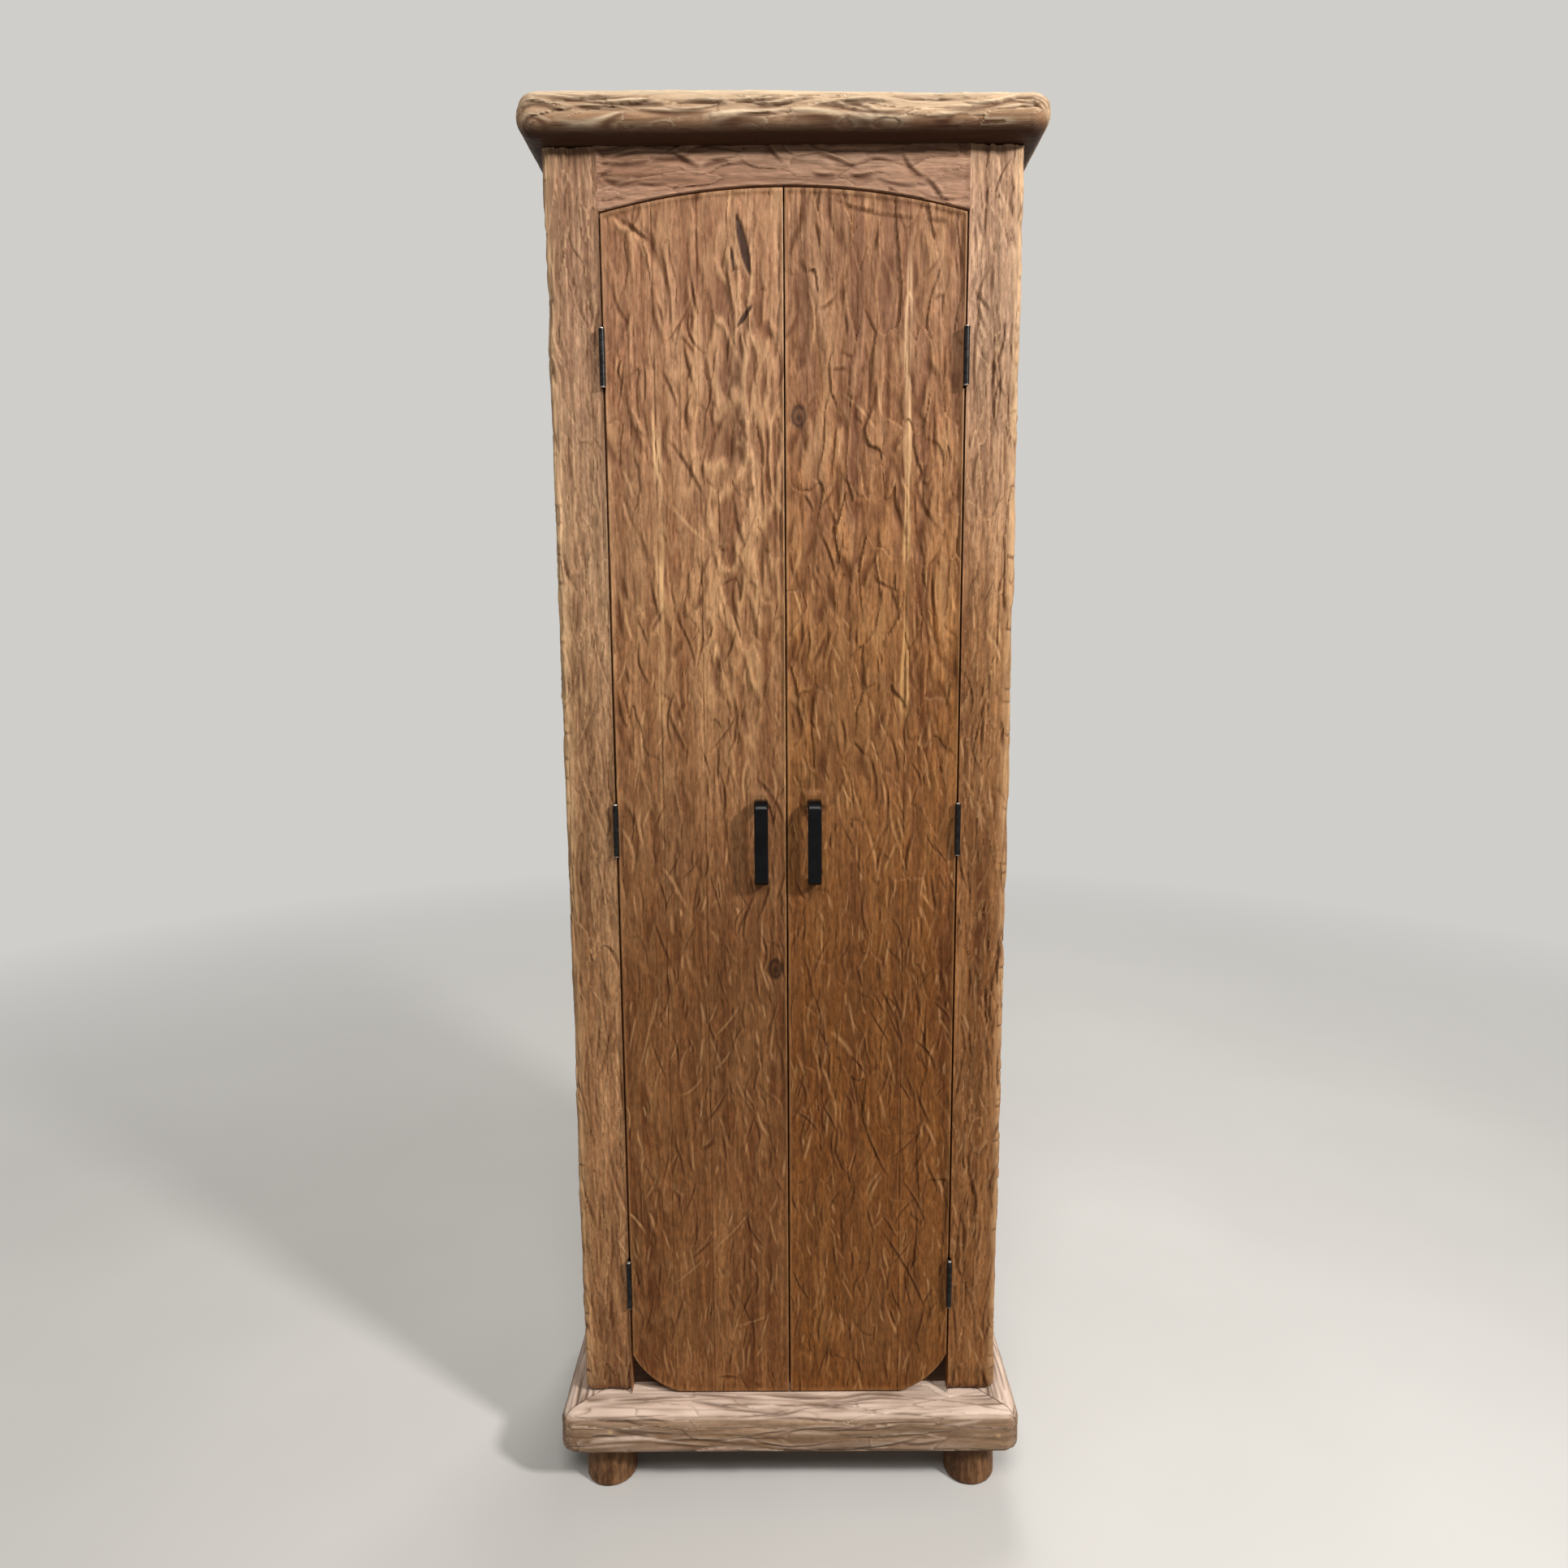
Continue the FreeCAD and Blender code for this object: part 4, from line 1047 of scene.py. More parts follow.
def carve_door(name):
    def carve(points, normals):
        x, z = points[:, X], points[:, Z]
        height = (z - DOOR_BOTTOM) / (ARCH_SPRING + ARCH_RISE - DOOR_BOTTOM)
        z = door_foot(x) + height * (door_top(x) - door_foot(x))
        points[:, Z] = z
        carving = Carving(points.copy(), Z)
        carving.points[:, Y] = FACE
        hew_door(carving, name, x, z)
        nick_door(carving, name, x, z)
        mark_door(carving, name, x, z)
        edge = np.clip(door_edge_distance(x, z), 0, None)
        clear = clear_of_handle(name, x, z)
        worn = np.clip(1 - edge / WORN_EDGE, 0, 1) ** 2
        depth = carving.skimmed(0.6, 7.0) * clear * step(edge, -1.0, 7.0) + WORN_EDGE * worn
        carving.mark("wear_and_highlight", 0.4 * bump(edge, 1.5, 2.0))
        lit = step(noise(carving.cells(20, 160, DOOR_SEED[name] + 8)), -0.2, 0.5)
        for plank_edge in plank_edges(name)[1:]:
            joint = SIDES[name] * plank_edge
            seam = bump(x, joint, 0.9)
            depth += 0.8 * seam
            carving.mark("dark_and_shade", 0.5 * seam)
            carving.mark("wear_and_highlight", 0.45 * bump(x, joint + 2.5, 1.8) * lit)
        front = points[:, Y] < FACE + TOUCH
        points[front, Y] += depth[front]
        let_in(points, True, name)
        return points, carving.tints() * front[:, None]
    return carve


def make_door(name, material):
    """The planks of one door, carved as one face so that cuts run across the joints."""
    side = SIDES[name]
    outer = plank_edges(name)
    inner = outer[1:] + [DOOR_INNER]
    leaf_depth = corners(f"hinge_top_{name}_door_leaf")[1][Y] + LEAF_CLEARANCE
    crown = ARCH_SPRING + ARCH_RISE
    for number in range(len(outer)):
        x0, x1 = side * outer[number], side * inner[number]
        meets = inner[number] == DOOR_INNER
        back = x1 + side * MEETING_EDGE_BEVEL if meets else x1
        outline = [
            (x0, FACE), (x1, FACE), (back, DOOR_REAR), (x0, DOOR_REAR), (x0, leaf_depth),
        ]
        board = swept_board(
            Z, (DOOR_BOTTOM, crown), outline, lambda middle: middle.y < FACE + TOUCH, DOOR_CELL, DOOR_STEP,
        )
        plank = f"door_{name}_plank_{number + 1}"
        carved_piece(
            f"carved_{plank}", board, carve_door(name), material, f"{name}_door", plank,
        )


# Front frame
STILE_FOOT_ROUND = 14.0
STILE_SEED = {"left": 31, "right": 35}
STILE_NICKS = {"left": 260, "right": 420}
# Cuts on the stiles that stand out: from and to as x, z, then width and depth
STILE_CUTS = {"left": [], "right": [(241, 1683, 262, 1654, 2.6, 2.2)]}


def carve_stile(name):
    side = SIDES[name]

    def carve(points, normals):
        x, y, z = points.T
        front = np.clip(-1.5 * normals[:, Y], 0, 1)
        outer = np.clip(1.5 * side * normals[:, X], 0, 1)
        shows = np.maximum(front, outer)
        shows[side * x < OPENING_HALF + TOUCH] *= 0
        carving = Carving(points, Z)
        seed = STILE_SEED[name]
        carving.swell(across=46, along=260, depth=1.6, seed=seed)
        across = np.abs(x) - (y - FACE)
        carving.flames(across=17, along=190, depth=1.4, seed=seed + 1, tint=0.5)
        carving.flames(across=7, along=90, depth=0.5, seed=seed + 2, tint=0.25)
        carving.chips(across, z, across=15, along=95, depth=1.6, seed=seed + 5, tint=0.6)
        carving.chips(across, z, across=8, along=45, depth=0.5, seed=seed + 6, tint=0.35, wall=1.4)
        stretch = {"low": (OPENING_HALF - 40, BODY_LOW), "high": (BODY_HALF, BODY_HIGH)}
        scatter_gouges(
            carving, across, z, seed, 100, **stretch,
            lengths=(30, 110), widths=(1.2, 2.6), depths=(1.2, 2.6), lean=0.16, pale=0.0, soft=0.1, curl=0.08,
        )
        scatter_gouges(
            carving, across, z, seed + 1, STILE_NICKS[name], **stretch,
            lengths=(8, 40), widths=(1.0, 2.0), depths=(0.6, 1.5), lean=0.22, pale=0.75, curl=0.05,
        )
        scatter_gouges(
            carving, z, across, seed + 2, 26, low=(BODY_LOW, BODY_HALF - 9), high=(BODY_HIGH, BODY_HALF),
            lengths=(8, 16), widths=(1.2, 2.2), depths=(0.5, 1.2), lean=0.3, pale=0.0,
        )
        carving.depth = carving.skimmed(0.8, 8.0)
        for x0, z0, x1, z1, width, depth in STILE_CUTS[name]:
            carving.gouge(x, z, (x0, z0), (x1, z1), width, depth)
        corner = np.hypot(BODY_HALF - np.abs(x), y - FACE)
        worn = bump(corner, 4.0, 11.0)
        carving.depth += 1.4 * worn * (0.5 + 0.5 * wave(z / 55 + side, seed + 3))
        # The rounded outer edge is pale, partly wear and partly a painted highlight
        carving.mark("wear_and_highlight", worn * (0.8 + 0.3 * wave(z / 25, seed + 4)))
        inner = np.abs(x) - OPENING_HALF
        carving.depth *= step(inner, -2.0, 7.0)
        beside_door = step(ARCH_SPRING - z, -4.0, 4.0)
        carving.depth += beside_door * WORN_EDGE * np.clip(1 - inner / WORN_EDGE, 0, 1) ** 2
        lift = np.clip(STILE_FOOT_ROUND - (z - BODY_LOW), 0, STILE_FOOT_ROUND)
        carving.depth += STILE_FOOT_ROUND - np.sqrt(STILE_FOOT_ROUND ** 2 - lift ** 2)
        grime = step(BODY_LOW + 55 - z, 0, 40) * (0.5 + 0.5 * noise(points / 14 + seed))
        carving.mark("stain_and_shade", 0.7 * grime)
        points -= normals * (np.clip(carving.depth, 0, 16) * shows)[:, None]
        let_in(points, False, name)
        return points, carving.tints() * np.sign(shows)[:, None]
    return carve


def make_stile(name, material):
    side = SIDES[name]
    leaf_depth = corners(f"hinge_top_{name}_frame_leaf")[1][Y] + LEAF_CLEARANCE
    x0, x1 = side * OPENING_HALF, side * BODY_HALF
    outline = [(x0, FACE), (x1, FACE), (x1, STILE_REAR), (x0, STILE_REAR), (x0, leaf_depth)]
    board = swept_board(
        Z, (BODY_LOW, BODY_HIGH), outline,
        lambda middle: middle.y < FACE + TOUCH or abs(middle.x) > BODY_HALF - STILE_EDGE_RADIUS,
        FRAME_CELL, FRAME_STEP, rounds=[(1, STILE_EDGE_RADIUS)],
    )
    node = f"front_stile_{name}"
    carved_piece(f"carved_{node}", board, carve_stile(name), material, "case", node)


# Cuts on the top rail that stand out: from and to as x, z, then width, depth and bend
RAIL_CUTS = [
    (148, 1843, 176, 1814, 2.4, 2.0, 4),
    (176, 1814, 200, 1785, 2.4, 2.0, -3),
    (-230, 1834, -167, 1836, 2.4, 2.0, 3),
    (-228, 1818, -184, 1813, 2.6, 2.0, 6),
    (-143, 1851, -104, 1828, 2.4, 1.8, 2),
    (-104, 1828, -68, 1835, 2.6, 2.0, -3),
    (-167, 1839, -116, 1844, 2.2, 1.8, 3),
    (35, 1820, 65, 1819, 2.4, 1.8, 2),
    (81, 1819, 111, 1819, 2.4, 1.8, 3),
]


def arch(x):
    """The lower edge of the top rail."""
    return ARCH_CENTRE + np.sqrt(ARCH_RADIUS ** 2 - x ** 2)


def carve_top_rail(points, normals):
    x, y, z = points.T
    low = arch(x)
    z = low + (z - ARCH_SPRING) / (BODY_HIGH - ARCH_SPRING) * (BODY_HIGH - low)
    points[:, Z] = z
    carving = Carving(points.copy(), X, light=(0.9, 0.4))
    carving.swell(across=40, along=220, depth=1.4, seed=51)
    carving.flames(across=17, along=110, depth=1.2, seed=52, tint=0.35)
    carving.chips(z, x, across=14, along=70, depth=1.8, seed=53, tint=0.7, wall=2.6, rim=0.4)
    scatter_gouges(
        carving, z, x, 54, 24, low=(ARCH_SPRING, -OPENING_HALF), high=(BODY_HIGH, OPENING_HALF),
        lengths=(30, 95), widths=(1.6, 3.2), depths=(0.8, 1.8), lean=0.32, pale=0.15,
    )
    for x0, z0, x1, z1, width, depth, bend in RAIL_CUTS:
        carving.gouge(z, x, (z0, x0), (z1, x1), 1.3 * width, 1.2 * depth, bend, soft=0.3)
    edge = np.clip(z - low, 0, None)
    joint = step(OPENING_HALF - np.abs(x), -1.0, 7.0)
    carving.depth = carving.skimmed(0.7, 7.0) * step(edge, -1.0, 7.0) * joint
    carving.depth += WORN_EDGE * np.clip(1 - edge / WORN_EDGE, 0, 1) ** 2
    carving.mark("wear_and_highlight", 0.3 * bump(edge, 1.5, 2.0))
    front = points[:, Y] < FACE + TOUCH
    points[front, Y] += carving.depth[front]
    return points, carving.tints() * front[:, None]


def make_top_rail(material):
    outline = [(FACE, ARCH_SPRING), (RAIL_REAR, ARCH_SPRING), (RAIL_REAR, BODY_HIGH), (FACE, BODY_HIGH)]
    board = swept_board(
        X, (-OPENING_HALF, OPENING_HALF), outline, lambda middle: middle.y < FACE + TOUCH,
        FRAME_CELL, FRAME_STEP,
    )
    carved_piece("carved_top_rail", board, carve_top_rail, material, "case", "top_rail")


# Top slab, which is a little thinner at its right end; its cells are drawn together towards the front
SLAB_FALL = 4.5
FRONT_FINENESS = 1.5


def round_slab(points, low, high):
    """Rounds the slab's front corners, and the upper and lower edges of its front and ends."""
    half, front = high[X], low[Y]
    round_plan_corners(points, half, front, SLAB_CORNER_RADIUS)
    rim = np.minimum(half - np.abs(points[:, X]), points[:, Y] - front)
    a = np.abs(points[:, X]) - (half - SLAB_CORNER_RADIUS)
    b = (front + SLAB_CORNER_RADIUS) - points[:, Y]
    at_corner = (a > 0) & (b > 0)
    reach = np.maximum(np.hypot(a, b), 1e-9)
    rim = np.where(at_corner, SLAB_CORNER_RADIUS - np.hypot(a, b), rim)
    by_side = half - np.abs(points[:, X]) < points[:, Y] - front
    out_x = np.where(at_corner, a / reach, by_side * 1.0) * np.sign(points[:, X])
    out_y = np.where(at_corner, -b / reach, by_side - 1.0)
    for radius, level, way in ((SLAB_TOP_RADIUS, high[Z], 1), (SLAB_BOTTOM_RADIUS, low[Z], -1)):
        a = radius - rim
        b = way * (points[:, Z] - level) + radius
        new_a, new_b = round_pair(a, b)
        points[:, X] += out_x * (new_a - a)
        points[:, Y] += out_y * (new_a - a)
        points[:, Z] += way * (new_b - b)


def slab_outward(points, normals, low, high):
    """The way straight out of the rounded slab at each point."""
    core_low = [low[X] + SLAB_CORNER_RADIUS, low[Y] + SLAB_CORNER_RADIUS, low[Z] + SLAB_BOTTOM_RADIUS]
    core_high = [high[X] - SLAB_CORNER_RADIUS, high[Y], high[Z] - SLAB_TOP_RADIUS]
    outward = points - np.clip(points, core_low, core_high)
    size = np.linalg.norm(outward, axis=1, keepdims=True)
    return np.where(size > 1e-6, outward / np.maximum(size, 1e-6), normals)


def lower_rear(cut, points, normals, low, high):
    """Lets the flat rear of the slab follow the cut along its upper edge."""
    x, z = points[:, X], points[:, Z]
    behind = normals[:, Y] > 0.9
    edge = (normals[:, Y] > 0.5) & (normals[:, Z] > 0.5)
    order = np.argsort(x[edge])
    drop = np.interp(x[behind], x[edge][order], cut[edge, Z][order])
    cut[behind, Z] = drop * np.clip((z[behind] - low[Z]) / (high[Z] - low[Z]), 0, 1)


def carve_slab(points, normals):
    low, high = corners("top_slab")
    half, front = high[X], low[Y]
    deep = high[Y] - front
    points[:, Y] = front + deep * np.clip((points[:, Y] - front) / deep, 0, 1) ** FRONT_FINENESS
    round_slab(points, low, high)
    x, y, z = points.T
    outward = slab_outward(points, normals, low, high)
    carving = Carving(points.copy(), X, light=(0.9, 0.4))
    carving.swell(across=60, along=300, depth=1.4, seed=61)
    around = (y - front) - (high[Z] - z)
    carving.flames(across=20, along=200, depth=1.6, seed=62, tint=0.4)
    carving.chips(around, x, across=13, along=72, depth=3.2, seed=63, tint=0.75, wall=1.9, rim=1.0)
    carving.chips(around, x, across=8, along=44, depth=1.1, seed=66, tint=0.5, wall=1.3, rim=0.9)
    scatter_gouges(
        carving, around, x, 64, 46, low=(-40, -half), high=(10, half), lengths=(44, 110),
        widths=(1.8, 4.0), depths=(1.4, 2.8), lean=0.1, pale=0.0, soft=0.3, curl=0.06, rim=0.9,
    )
    scatter_gouges(
        carving, around, x, 68, 44, low=(-40, -half), high=(20, half), lengths=(24, 90),
        widths=(1.3, 2.4), depths=(0.8, 1.8), lean=0.14, pale=0.3, curl=0.08, rim=0.7,
    )
    scatter_gouges(
        carving, around, x, 65, 130, low=(30, -half), high=(385, half), lengths=(50, 160),
        widths=(2.0, 4.5), depths=(0.6, 1.8), lean=0.15, pale=0.3,
    )
    shows = step(outward[:, Z], -0.95, -0.5) * (normals[:, Y] < 0.9)
    upward = step(outward[:, Z], 0.2, 0.75)
    depth = carving.skimmed(1.2, 8.0) * (1 - 0.75 * outward[:, X] ** 2) * (1 - 0.7 * upward)
    depth *= 0.3 + 0.7 * step(z, low[Z] + 8, low[Z] + 30)
    depth += SLAB_FALL * step(x, -100, 200) * step(outward[:, Z], 0.2, 0.9)
    depth *= 1 - outward[:, X] ** 2 * step(y, high[Y] - 20, high[Y])
    cut = outward * (depth * shows)[:, None]
    lower_rear(cut, points, normals, low, high)
    points -= cut
    # Painted highlight on the slab's top and the upper half of its front, where the light falls, with less
    # shade there
    carving.dark_and_shade *= 1 - 0.6 * upward
    patchy = 0.5 + 0.5 * noise(carving.cells(14, 110, 67))
    carving.mark("wear_and_highlight", 0.75 * step(outward[:, Z], -0.3, 0.2) * patchy)
    carving.mark("wear_and_highlight", 0.9 * upward)
    end_grain = 1 - 0.8 * outward[:, X] ** 2
    tints = carving.tints() * (shows * end_grain)[:, None]
    # Painted shade on the slab's underside, given as the stain colour
    under = step(-outward[:, Z], 0.15, 0.85) * (normals[:, Y] < 0.5)
    tints[:, 2] = np.maximum(tints[:, 2], under)
    return points, tints


def make_slab(material):
    low, high = corners("top_slab")
    block = divided_block(low, high, SLAB_CELLS)
    carved_piece("carved_top_slab", block, carve_slab, material, "case", "top_slab")


# Plinth and feet
plinth_low, plinth_high = corners("plinth_front")
PLINTH_HALF = corners("plinth_right")[1][X]
PLINTH_FRONT = plinth_low[Y]
CASE_REAR = corners("plinth_back")[1][Y]
# The mitres run where distance from the middle and depth add up to this
MITRE_SUM = PLINTH_HALF + PLINTH_FRONT
MITRE_DEPTH = 1.2
MITRE_WIDTH = 1.5
# Pale dots of filler on the front of the plinth: middle as x, z
FILLER_DOTS = [(-259, 113), (301, 105)]
FILLER_SPREAD = 3.2
FILLER_REACH = 12.0
# Corners of the stretch that has chance cuts, as around and along a board
PLINTH_CUTS_LOW = (-58, -327)
PLINTH_CUTS_HIGH = (45, 327)
FOOT_FACETS = 88


def carve_plinth(grain, seed):
    def carve(points, normals):
        round_plan_corners(points, PLINTH_HALF, PLINTH_FRONT, PLINTH_CORNER_RADIUS)
        x, y, z = points.T
        carving = Carving(points.copy(), grain)
        carving.swell(across=46, along=320, depth=1.8, seed=seed)
        length = points[:, grain]
        around = (z - plinth_high[Z]) + ((y - PLINTH_FRONT) if grain == X else (PLINTH_HALF - np.abs(x)))
        carving.flames(across=21, along=230, depth=1.6, seed=seed + 1, tint=0.45)
        carving.chips(around, length, across=20, along=110, depth=2.2, seed=seed + 2, tint=0.55, wall=2.6)
        scatter_gouges(
            carving, around, length, seed, 60, low=PLINTH_CUTS_LOW, high=PLINTH_CUTS_HIGH,
            lengths=(40, 150), widths=(1.5, 3.2), depths=(0.6, 1.7), lean=0.14, pale=0.25,
        )
        if grain == X:
            for dot_x, dot_z in FILLER_DOTS:
                dot = bump(np.hypot(x - dot_x, z - dot_z), 0, FILLER_SPREAD)
                carving.mark("sapwood", dot * (y < PLINTH_FRONT + FILLER_REACH))
        rear_side = normals[:, Y] > 0.7 if grain == X else np.sign(x) * normals[:, X] < -0.7
        shows = np.where(rear_side | (normals[:, Z] < -0.9), 0.0, 1.0)
        shows *= step(CASE_REAR - y, 0.5, 8)
        mitre = np.abs(np.abs(x) + y - MITRE_SUM)
        depth = carving.skimmed(1.8, 6.0) * step(mitre, 0, 5) + MITRE_DEPTH * bump(mitre, 0, MITRE_WIDTH)
        depth *= 1 - 0.7 * normals[:, X] ** 2
        # Painted highlight on the upward faces of each plinth board, in patches
        patchy = 0.85 + 0.5 * noise(carving.cells(10, 60, seed + 3))
        carving.mark("wear_and_highlight", patchy * step(normals[:, Z], 0.3, 0.8))
        points -= normals * (depth * shows)[:, None]
        return points, carving.tints() * shows[:, None]
    return carve


def cut_mitre(bm, side, keep_front):
    """Cuts a board's end off at the mitre over a front foot and closes the cut."""
    place = Vector((side * PLINTH_HALF, PLINTH_FRONT, 0)) / MM
    way = Vector((side, 1, 0)) * (1 if keep_front else -1)
    whole = list(bm.verts) + list(bm.edges) + list(bm.faces)
    cut = bmesh.ops.bisect_plane(bm, geom=whole, dist=1e-6, plane_co=place, plane_no=way, clear_outer=True)
    rim = [part for part in cut["geom_cut"] if isinstance(part, bmesh.types.BMEdge)]
    bmesh.ops.edgeloop_fill(bm, edges=rim)
    bmesh.ops.recalc_face_normals(bm, faces=bm.faces)


def make_plinth(front_material, side_material):
    low, high = plinth_low[Z], plinth_high[Z]
    inner = PLINTH_FRONT + PLINTH_BOARD_WIDTH
    outline = [(PLINTH_FRONT, low), (inner, low), (inner, high), (PLINTH_FRONT, high)]
    board = swept_board(
        X, (-PLINTH_HALF, PLINTH_HALF), outline, lambda middle: middle.y < inner - TOUCH,
        FRAME_CELL, FRAME_STEP, rounds=[(0, PLINTH_BOTTOM_RADIUS), (3, PLINTH_TOP_RADIUS)],
    )
    for side in SIDES.values():
        cut_mitre(board, side, True)
    carved_piece(
        "carved_plinth_front", board, carve_plinth(X, 71), front_material,
        "case", "plinth_front",
    )
    for name, side in SIDES.items():
        outer = side * PLINTH_HALF
        inner = side * (PLINTH_HALF - PLINTH_BOARD_WIDTH)
        outline = [(outer, low), (inner, low), (inner, high), (outer, high)]
        board = swept_board(
            Y, (PLINTH_FRONT, CASE_REAR), outline,
            lambda middle: abs(middle.x) > PLINTH_HALF - PLINTH_BOARD_WIDTH + TOUCH,
            FRAME_CELL, FRAME_STEP, rounds=[(0, PLINTH_BOTTOM_RADIUS), (3, PLINTH_TOP_RADIUS)],
        )
        cut_mitre(board, side, False)
        node = f"plinth_{name}"
        carved_piece(
            f"carved_{node}", board, carve_plinth(Y, 75 + side), side_material, "case", node,
        )


def carve_foot(seed):
    def carve(points, normals):
        carving = Carving(points.copy(), Z)
        carving.swell(across=34, along=90, depth=1.6, seed=seed)
        carving.flames(across=10, along=60, depth=1.5, seed=seed + 1, tint=0.8)
        carving.flames(across=5, along=34, depth=0.6, seed=seed + 2, tint=0.5)
        shows = np.clip(1 - 1.1 * np.abs(normals[:, Z]), 0, 1)
        points -= normals * (carving.depth * shows)[:, None]
        return points, carving.tints() * shows[:, None]
    return carve


def make_feet(material):
    """Turned feet: half a section rounded at the floor, spun about its middle."""
    for number, node in enumerate(sorted(name for name in nodes if name.startswith("foot_"))):
        low, high = corners(node)
        middle = (low + high) / 2
        base = (high[X] - low[X]) / 2
        top = plinth_low[Z]
        bm = bmesh.new()
        section = [(0, 0), (base, 0), (FOOT_TOP_RADIUS, top), (0, top)]
        verts = [bm.verts.new((r / MM, 0, z / MM)) for r, z in section]
        bm.faces.new(verts)
        bmesh.ops.bevel(
            bm, geom=[verts[1]], offset=FOOT_EDGE_RADIUS / MM, offset_type="OFFSET", affect="VERTICES",
            segments=ROUND_SEGMENTS, profile=0.5, material=-1,
        )
        bmesh.ops.delete(bm, geom=list(bm.faces), context="FACES_ONLY")
        axis_edge = [edge for edge in bm.edges if all(abs(vert.co.x) < 1e-9 for vert in edge.verts)]
        bmesh.ops.delete(bm, geom=axis_edge, context="EDGES")
        for edge in list(bm.edges):
            pieces = round(edge.calc_length() * MM / FRAME_CELL)
            if pieces > 1:
                bmesh.ops.subdivide_edges(bm, edges=[edge], cuts=pieces - 1)
        bmesh.ops.spin(
            bm, geom=list(bm.verts) + list(bm.edges), cent=(0, 0, 0), axis=(0, 0, 1),
            angle=2 * math.pi, steps=FOOT_FACETS, use_merge=True,
        )
        bmesh.ops.remove_doubles(bm, verts=bm.verts, dist=1e-6)
        bmesh.ops.recalc_face_normals(bm, faces=bm.faces)
        bmesh.ops.translate(bm, verts=bm.verts, vec=(middle[X] / MM, middle[Y] / MM, 0))
        carved_piece(
            f"carved_{node}", bm, carve_foot(81 + 4 * number), material, "case", node,
        )


# Sides of the case
SIDE_PANEL_SEED = {"left": 101, "right": 105}


def carve_side_panel(name):
    side = SIDES[name]
    seed = SIDE_PANEL_SEED[name]

    def carve(points, normals):
        x, y, z = points.T
        carving = Carving(points.copy(), Z)
        carving.swell(across=60, along=330, depth=1.8, seed=seed)
        carving.flames(across=15, along=170, depth=1.2, seed=seed + 1, tint=0.5)
        carving.chips(y, z, across=20, along=100, depth=1.8, seed=seed + 2, tint=0.5, wall=3.0, rim=0.5)
        scatter_gouges(
            carving, y, z, seed, 120, low=(STILE_REAR, BODY_LOW), high=(CASE_REAR, BODY_HIGH),
            lengths=(30, 90), widths=(2.0, 3.4), depths=(0.7, 1.6), lean=0.22, pale=0.4,
        )
        outer = side * x > BODY_HALF - TOUCH
        rear = step(CASE_REAR - y, 0.0, 8.0)
        points[outer, X] -= side * (np.clip(carving.depth, 0, 6) * rear)[outer]
        return points, carving.tints() * outer[:, None]
    return carve


def make_side_panel(name, material):
    side = SIDES[name]
    node = f"side_panel_{name}"
    low, high = corners(node)
    rebate_width, rebate_depth = BACK_REBATE
    outer = side * BODY_HALF
    inner = high[X] if side < 0 else low[X]
    rebate_x = inner + side * rebate_width
    outline = [
        (outer, STILE_REAR), (outer, CASE_REAR), (rebate_x, CASE_REAR),
        (rebate_x, CASE_REAR - rebate_depth), (inner, CASE_REAR - rebate_depth), (inner, STILE_REAR),
    ]
    board = swept_board(
        Z, (BODY_LOW, BODY_HIGH), outline, lambda middle: abs(middle.x) > BODY_HALF - TOUCH,
        PANEL_CELL, PANEL_CELL,
    )
    carved_piece(f"carved_{node}", board, carve_side_panel(name), material, "case", node)


# Parts of the frame that keep their shape
# Each back board has a shade of its own, and its grain is moved on by this much
BACK_SHADES = (0.9, 1.1, 0.98)
BACK_SHIFT = 3.7


def dress(material, *starts):
    """Gives a finish to every shown part of the frame whose name starts so."""
    for name, node in nodes.items():
        if name.startswith(starts) and not node.hide_render:
            for slot in node.material_slots:
                slot.material = material


# Stage, light and camera
CAMERA_PLACE = (0.0004, -1.5849, 1.2664)
CAMERA_PITCH = 0.1491
CAMERA_YAW = -0.0027
CAMERA_ROLL = -0.0055
CAMERA_LENS = 24.63
SENSOR = 36.0
DAYLIGHT = (1.0, 0.98, 0.95)
SURROUNDING_LIGHT = 0.16
FLOOR_RADIUS = 30.0
# Lamps: place, aim and size in metres, then power in watts
LAMPS = {
    "key": ((2.2, -2.0, 2.7), (0.0, -0.15, 1.3), 0.4, 101.0),
    "overhead": ((-0.1, -2.6, 3.6), (0.0, -0.2, 1.2), 1.5, 71.0),
    "rear": ((0.6, 2.6, 3.0), (0.0, 0.1, 1.0), 1.6, 60.0),
}


def make_camera():
    ahead = Vector((
        math.sin(CAMERA_YAW) * math.cos(CAMERA_PITCH),
        math.cos(CAMERA_YAW) * math.cos(CAMERA_PITCH),
        -math.sin(CAMERA_PITCH),
    ))
    level = Vector((math.cos(CAMERA_YAW), -math.sin(CAMERA_YAW), 0))
    above = level.cross(ahead)
    right = math.cos(CAMERA_ROLL) * level + math.sin(CAMERA_ROLL) * above
    up = math.cos(CAMERA_ROLL) * above - math.sin(CAMERA_ROLL) * level
    data = bpy.data.cameras.new("camera")
    data.lens = CAMERA_LENS
    data.sensor_width = SENSOR
    camera = bpy.data.objects.new("camera", data)
    turn = Matrix((right, up, -ahead)).transposed().to_4x4()
    camera.matrix_world = Matrix.Translation(CAMERA_PLACE) @ turn
    bpy.context.scene.collection.objects.link(camera)
    bpy.context.scene.camera = camera


def make_lamp(name, place, aim, size, power):
    data = bpy.data.lights.new(name, "AREA")
    data.shape = "DISK"
    data.size = size
    data.energy = power
    data.color = DAYLIGHT
    lamp = bpy.data.objects.new(name, data)
    lamp.location = place
    lamp.rotation_euler = (Vector(aim) - Vector(place)).to_track_quat("-Z", "Y").to_euler()
    bpy.context.scene.collection.objects.link(lamp)


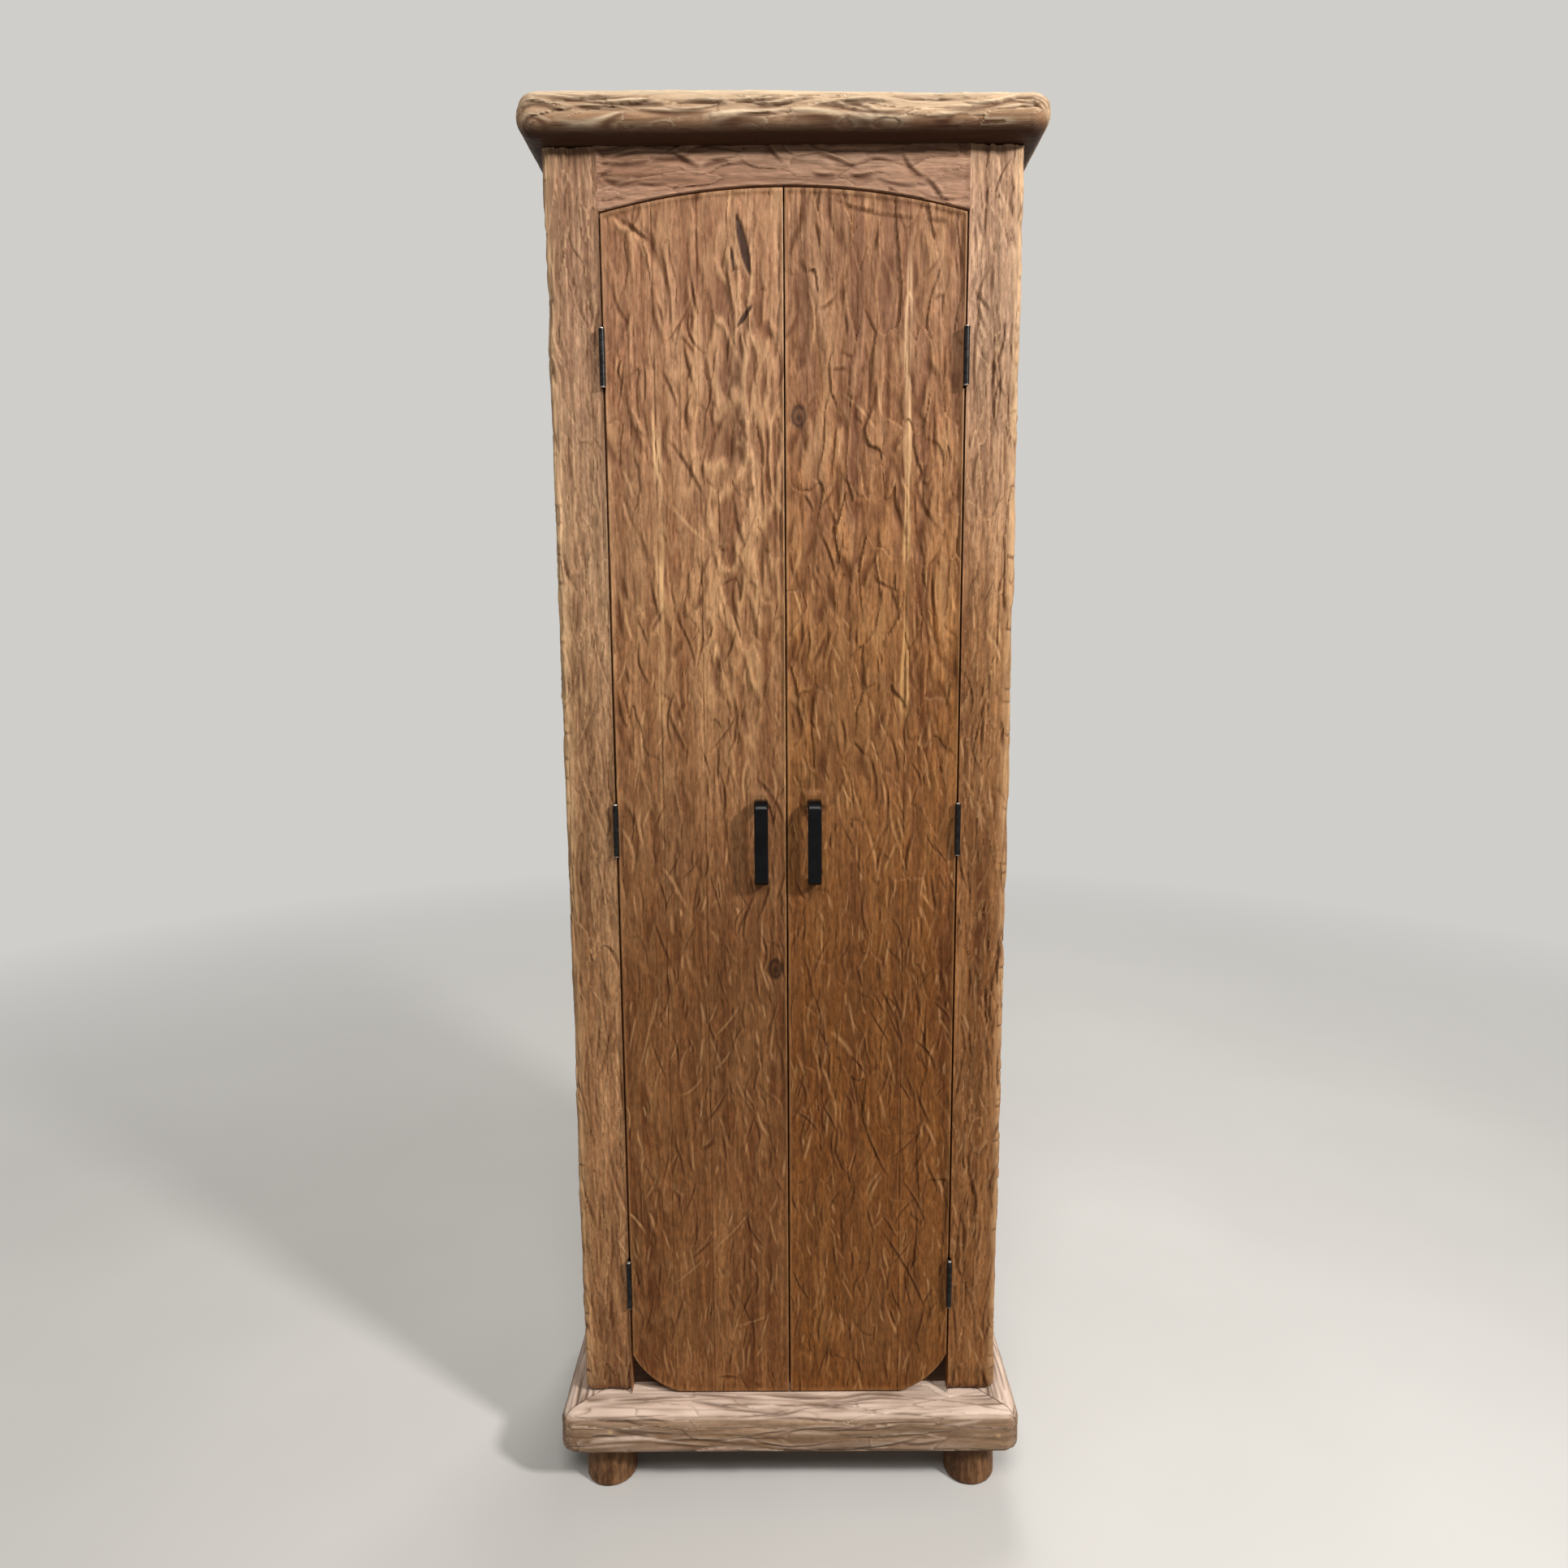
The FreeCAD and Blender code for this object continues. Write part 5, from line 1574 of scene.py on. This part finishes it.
def make_floor(material):
    bm = bmesh.new()
    bmesh.ops.create_circle(bm, cap_ends=True, segments=96, radius=FLOOR_RADIUS)
    mesh = bpy.data.meshes.new("floor")
    bm.to_mesh(mesh)
    bm.free()
    mesh.materials.append(material)
    floor = bpy.data.objects.new("floor", mesh)
    bpy.context.scene.collection.objects.link(floor)


def make_world(backdrop):
    """Even light from all round, with a plain pale backdrop where the camera looks past the object."""
    world = bpy.data.worlds.new("studio")
    world.use_nodes = True
    studio = Nodes(world.node_tree)
    studio.tree.nodes.clear()
    light = studio.node("ShaderNodeBackground", {"Color": (*DAYLIGHT, 1.0), "Strength": SURROUNDING_LIGHT})
    shown = studio.node("ShaderNodeBackground", {"Color": backdrop})
    path = studio.node("ShaderNodeLightPath").outputs
    straight = studio.greater(path["Is Camera Ray"], path["Is Transmission Ray"])
    seen = studio.greater(straight, path["Is Glossy Ray"])
    blend = studio.node("ShaderNodeMixShader", {0: seen, 1: light.outputs[0], 2: shown.outputs[0]})
    studio.node("ShaderNodeOutputWorld", {"Surface": blend.outputs[0]})
    bpy.context.scene.world = world


def make_stage():
    backdrop = tone(208, 206, 202)
    make_floor(floor_finish(backdrop))
    make_world(backdrop)
    for name, settings in LAMPS.items():
        make_lamp(name, *settings)
    bpy.context.scene.view_settings.view_transform = "Standard"
    make_camera()


def make_cupboard():
    for name in SIDES:
        stile = frame_teak(name)
        make_door(name, door_teak(name))
        make_stile(name, stile)
        make_side_panel(name, stile)
    make_top_rail(rail_teak())
    make_slab(slab_teak())
    plinth_along = plinth_teak("plinth_teak", X)
    make_plinth(plinth_along, plinth_teak("plinth_side_teak", Y))
    make_feet(foot_teak())
    dress(plinth_teak("plinth_back_teak", X, wear_and_highlight=None), "plinth_back")
    for number, shade in enumerate(BACK_SHADES, start=1):
        upright = planed_teak(f"planed_upright_{number}", Z, shade, BACK_SHIFT * number)
        dress(upright, f"back_board_{number}")
    dress(planed_teak("planed_across", X), "shelf_", "floor_panel", "door_left_batten", "door_right_batten")
    dress(planed_teak("planed_deep", Y), "shelf_cleats")
    # Painted shade: the boards seen in the recess behind the doors are coloured dark
    dress(shaded_recess_teak("shaded_recess_across", X), "bottom_rail", "top_stop")
    dress(planed_teak("dowel_wood", Z), "case_dowels")
    dress(black_iron(), "handle_")
    dress(hinge_iron(), "hinge_")
    dress(screw_steel(), "handle_screws", "hinge_screws")
    dress(pin_steel(), "hinge_pins")
    dress(strike_steel(), "strike")
    dress(moulded_plastic(), "catch_magnets")


make_cupboard()
make_stage()
